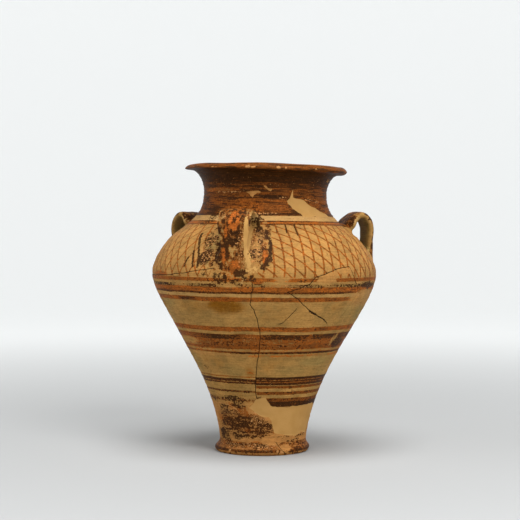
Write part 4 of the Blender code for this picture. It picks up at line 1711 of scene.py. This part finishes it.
def make_floor(stage):
    """A round floor whose edge curves up into a pale wall, so it has no horizon from any side."""
    mesh = bmesh.new()
    bend = stage.floor_bend
    profile = [Vector((0.0, 0.0)), Vector((0.5 * stage.floor_radius, 0.0))]
    for step in range(BEND_STEPS + 1):
        turn = math.pi / 2 * step / BEND_STEPS
        profile.append(Vector((stage.floor_radius + bend * math.sin(turn), bend * (1 - math.cos(turn)))))
    profile.append(Vector((stage.floor_radius + bend, stage.wall_height)))
    vertices = [mesh.verts.new((point.x, 0.0, point.y)) for point in profile]
    edges = [mesh.edges.new(pair) for pair in zip(vertices, vertices[1:])]
    bmesh.ops.spin(
        mesh, geom=vertices + edges, cent=(0, 0, 0), axis=(0, 0, 1),
        angle=math.tau, steps=FLOOR_STEPS, use_merge=True,
    )
    bmesh.ops.remove_doubles(mesh, verts=mesh.verts, dist=0.0001)
    bmesh.ops.recalc_face_normals(mesh, faces=mesh.faces)
    floor = shell_object("floor", mesh)
    recipe = Recipe("pale_floor")
    x, y, height = recipe.parts(recipe.value("ShaderNodeTexCoord", {}, {}, "Object"))
    radius = recipe.maths("SQRT", x * x + y * y)
    glow = recipe.mix(recipe.smooth(radius, *GLOW_RADII), (0.0, 0.0, 0.0), stage.glow_colour)
    recipe.feed(recipe.shader.inputs["Emission Color"], glow)
    recipe.feed(recipe.shader.inputs["Emission Strength"], 1.0)
    recipe.feed(recipe.shader.inputs["Base Color"], solid(stage.floor_colour))
    recipe.feed(recipe.shader.inputs["Roughness"], 0.85)
    floor.data.materials.append(recipe.material)


# Lights: place in metres, diameter, watts.
LIGHTS = {
    "top_light": ((0.35, -0.8, 3.2), 2.2, 106),
    "key_light": ((1.9, -1.9, 2.2), 1.4, 54),
    "fill_light": ((-2.2, -1.2, 1.6), 1.6, 9),
}
LIT_POINT = (0.0, 0.0, 0.25)
ROOM_COLOUR = (0.95, 0.97, 1.0, 1.0)
ROOM_STRENGTH = 0.05


def make_lights():
    """Three soft discs that look at the jar, in a dim pale room."""
    for name, (place, size, watts) in LIGHTS.items():
        data = bpy.data.lights.new(name, "AREA")
        data.shape = "DISK"
        data.size = size
        data.energy = watts
        lamp = bpy.data.objects.new(name, data)
        lamp.location = place
        lamp.rotation_euler = (Vector(LIT_POINT) - Vector(place)).to_track_quat("-Z", "Y").to_euler()
        bpy.context.scene.collection.objects.link(lamp)
    world = bpy.data.worlds.new("pale_room")
    world.use_nodes = True
    background = world.node_tree.nodes["Background"]
    background.inputs["Color"].default_value = ROOM_COLOUR
    background.inputs["Strength"].default_value = ROOM_STRENGTH
    bpy.context.scene.world = world
    bpy.context.scene.view_settings.view_transform = "Standard"
    bpy.context.scene.view_settings.look = "None"


def make_camera(stage):
    """The lens stands at the picture's viewing angle and looks at the row and column at its middle."""
    data = bpy.data.cameras.new("camera")
    data.sensor_width = 36.0
    data.lens = data.sensor_width * stage.focal_pixels / stage.picture_width
    camera = bpy.data.objects.new("camera", data)
    turn = stage.camera_bearing
    eye = Vector((math.sin(turn), -math.cos(turn), 0.0)) * stage.camera_distance
    eye.z = stage.camera_height
    right = Vector((math.cos(turn), math.sin(turn), 0.0))
    middle = stage.picture_width / 2
    sideways = (middle - stage.axis_column) / stage.focal_pixels * stage.camera_distance
    downward = (middle - stage.horizon_row) / stage.focal_pixels * stage.camera_distance
    target = right * sideways + Vector((0.0, 0.0, stage.camera_height - downward))
    camera.location = eye
    camera.rotation_euler = (target - eye).to_track_quat("-Z", "Y").to_euler()
    bpy.context.scene.collection.objects.link(camera)
    bpy.context.scene.camera = camera


class JarPanel(Panel):
    """Lists the jar's settings and steps in the sidebar"""
    bl_idname = "VIEW3D_PT_three_handled_jar"
    bl_label = "Three-handled Jar"
    bl_space_type = "VIEW_3D"
    bl_region_type = "UI"
    bl_category = "Jar"

    def draw(self, context):
        for operator in OPERATORS:
            self.layout.operator(operator.bl_idname)
        for group_name in ("body", "handles", "lean", "relief", "colours", "stage"):
            group = getattr(settings(), group_name)
            column = self.layout.column(heading=group_name.capitalize())
            for name in group.__annotations__:
                column.prop(group, name)


OPERATORS = (MakeJar, MakeStage)
GROUPS = (BodySizes, HandleSizes, LeanSizes, ReliefSizes, ClayColours, StageSizes, JarSettings)


def register():
    for kind in (*GROUPS, *OPERATORS, JarPanel):
        bpy.utils.register_class(kind)
    bpy.types.Scene.three_handled_jar = PointerProperty(type=JarSettings)


def unregister():
    del bpy.types.Scene.three_handled_jar
    for kind in reversed((*GROUPS, *OPERATORS, JarPanel)):
        bpy.utils.unregister_class(kind)


def main():
    register()
    bpy.ops.jar.make_jar()
    bpy.ops.jar.make_stage()


if __name__ == "__main__":
    main()
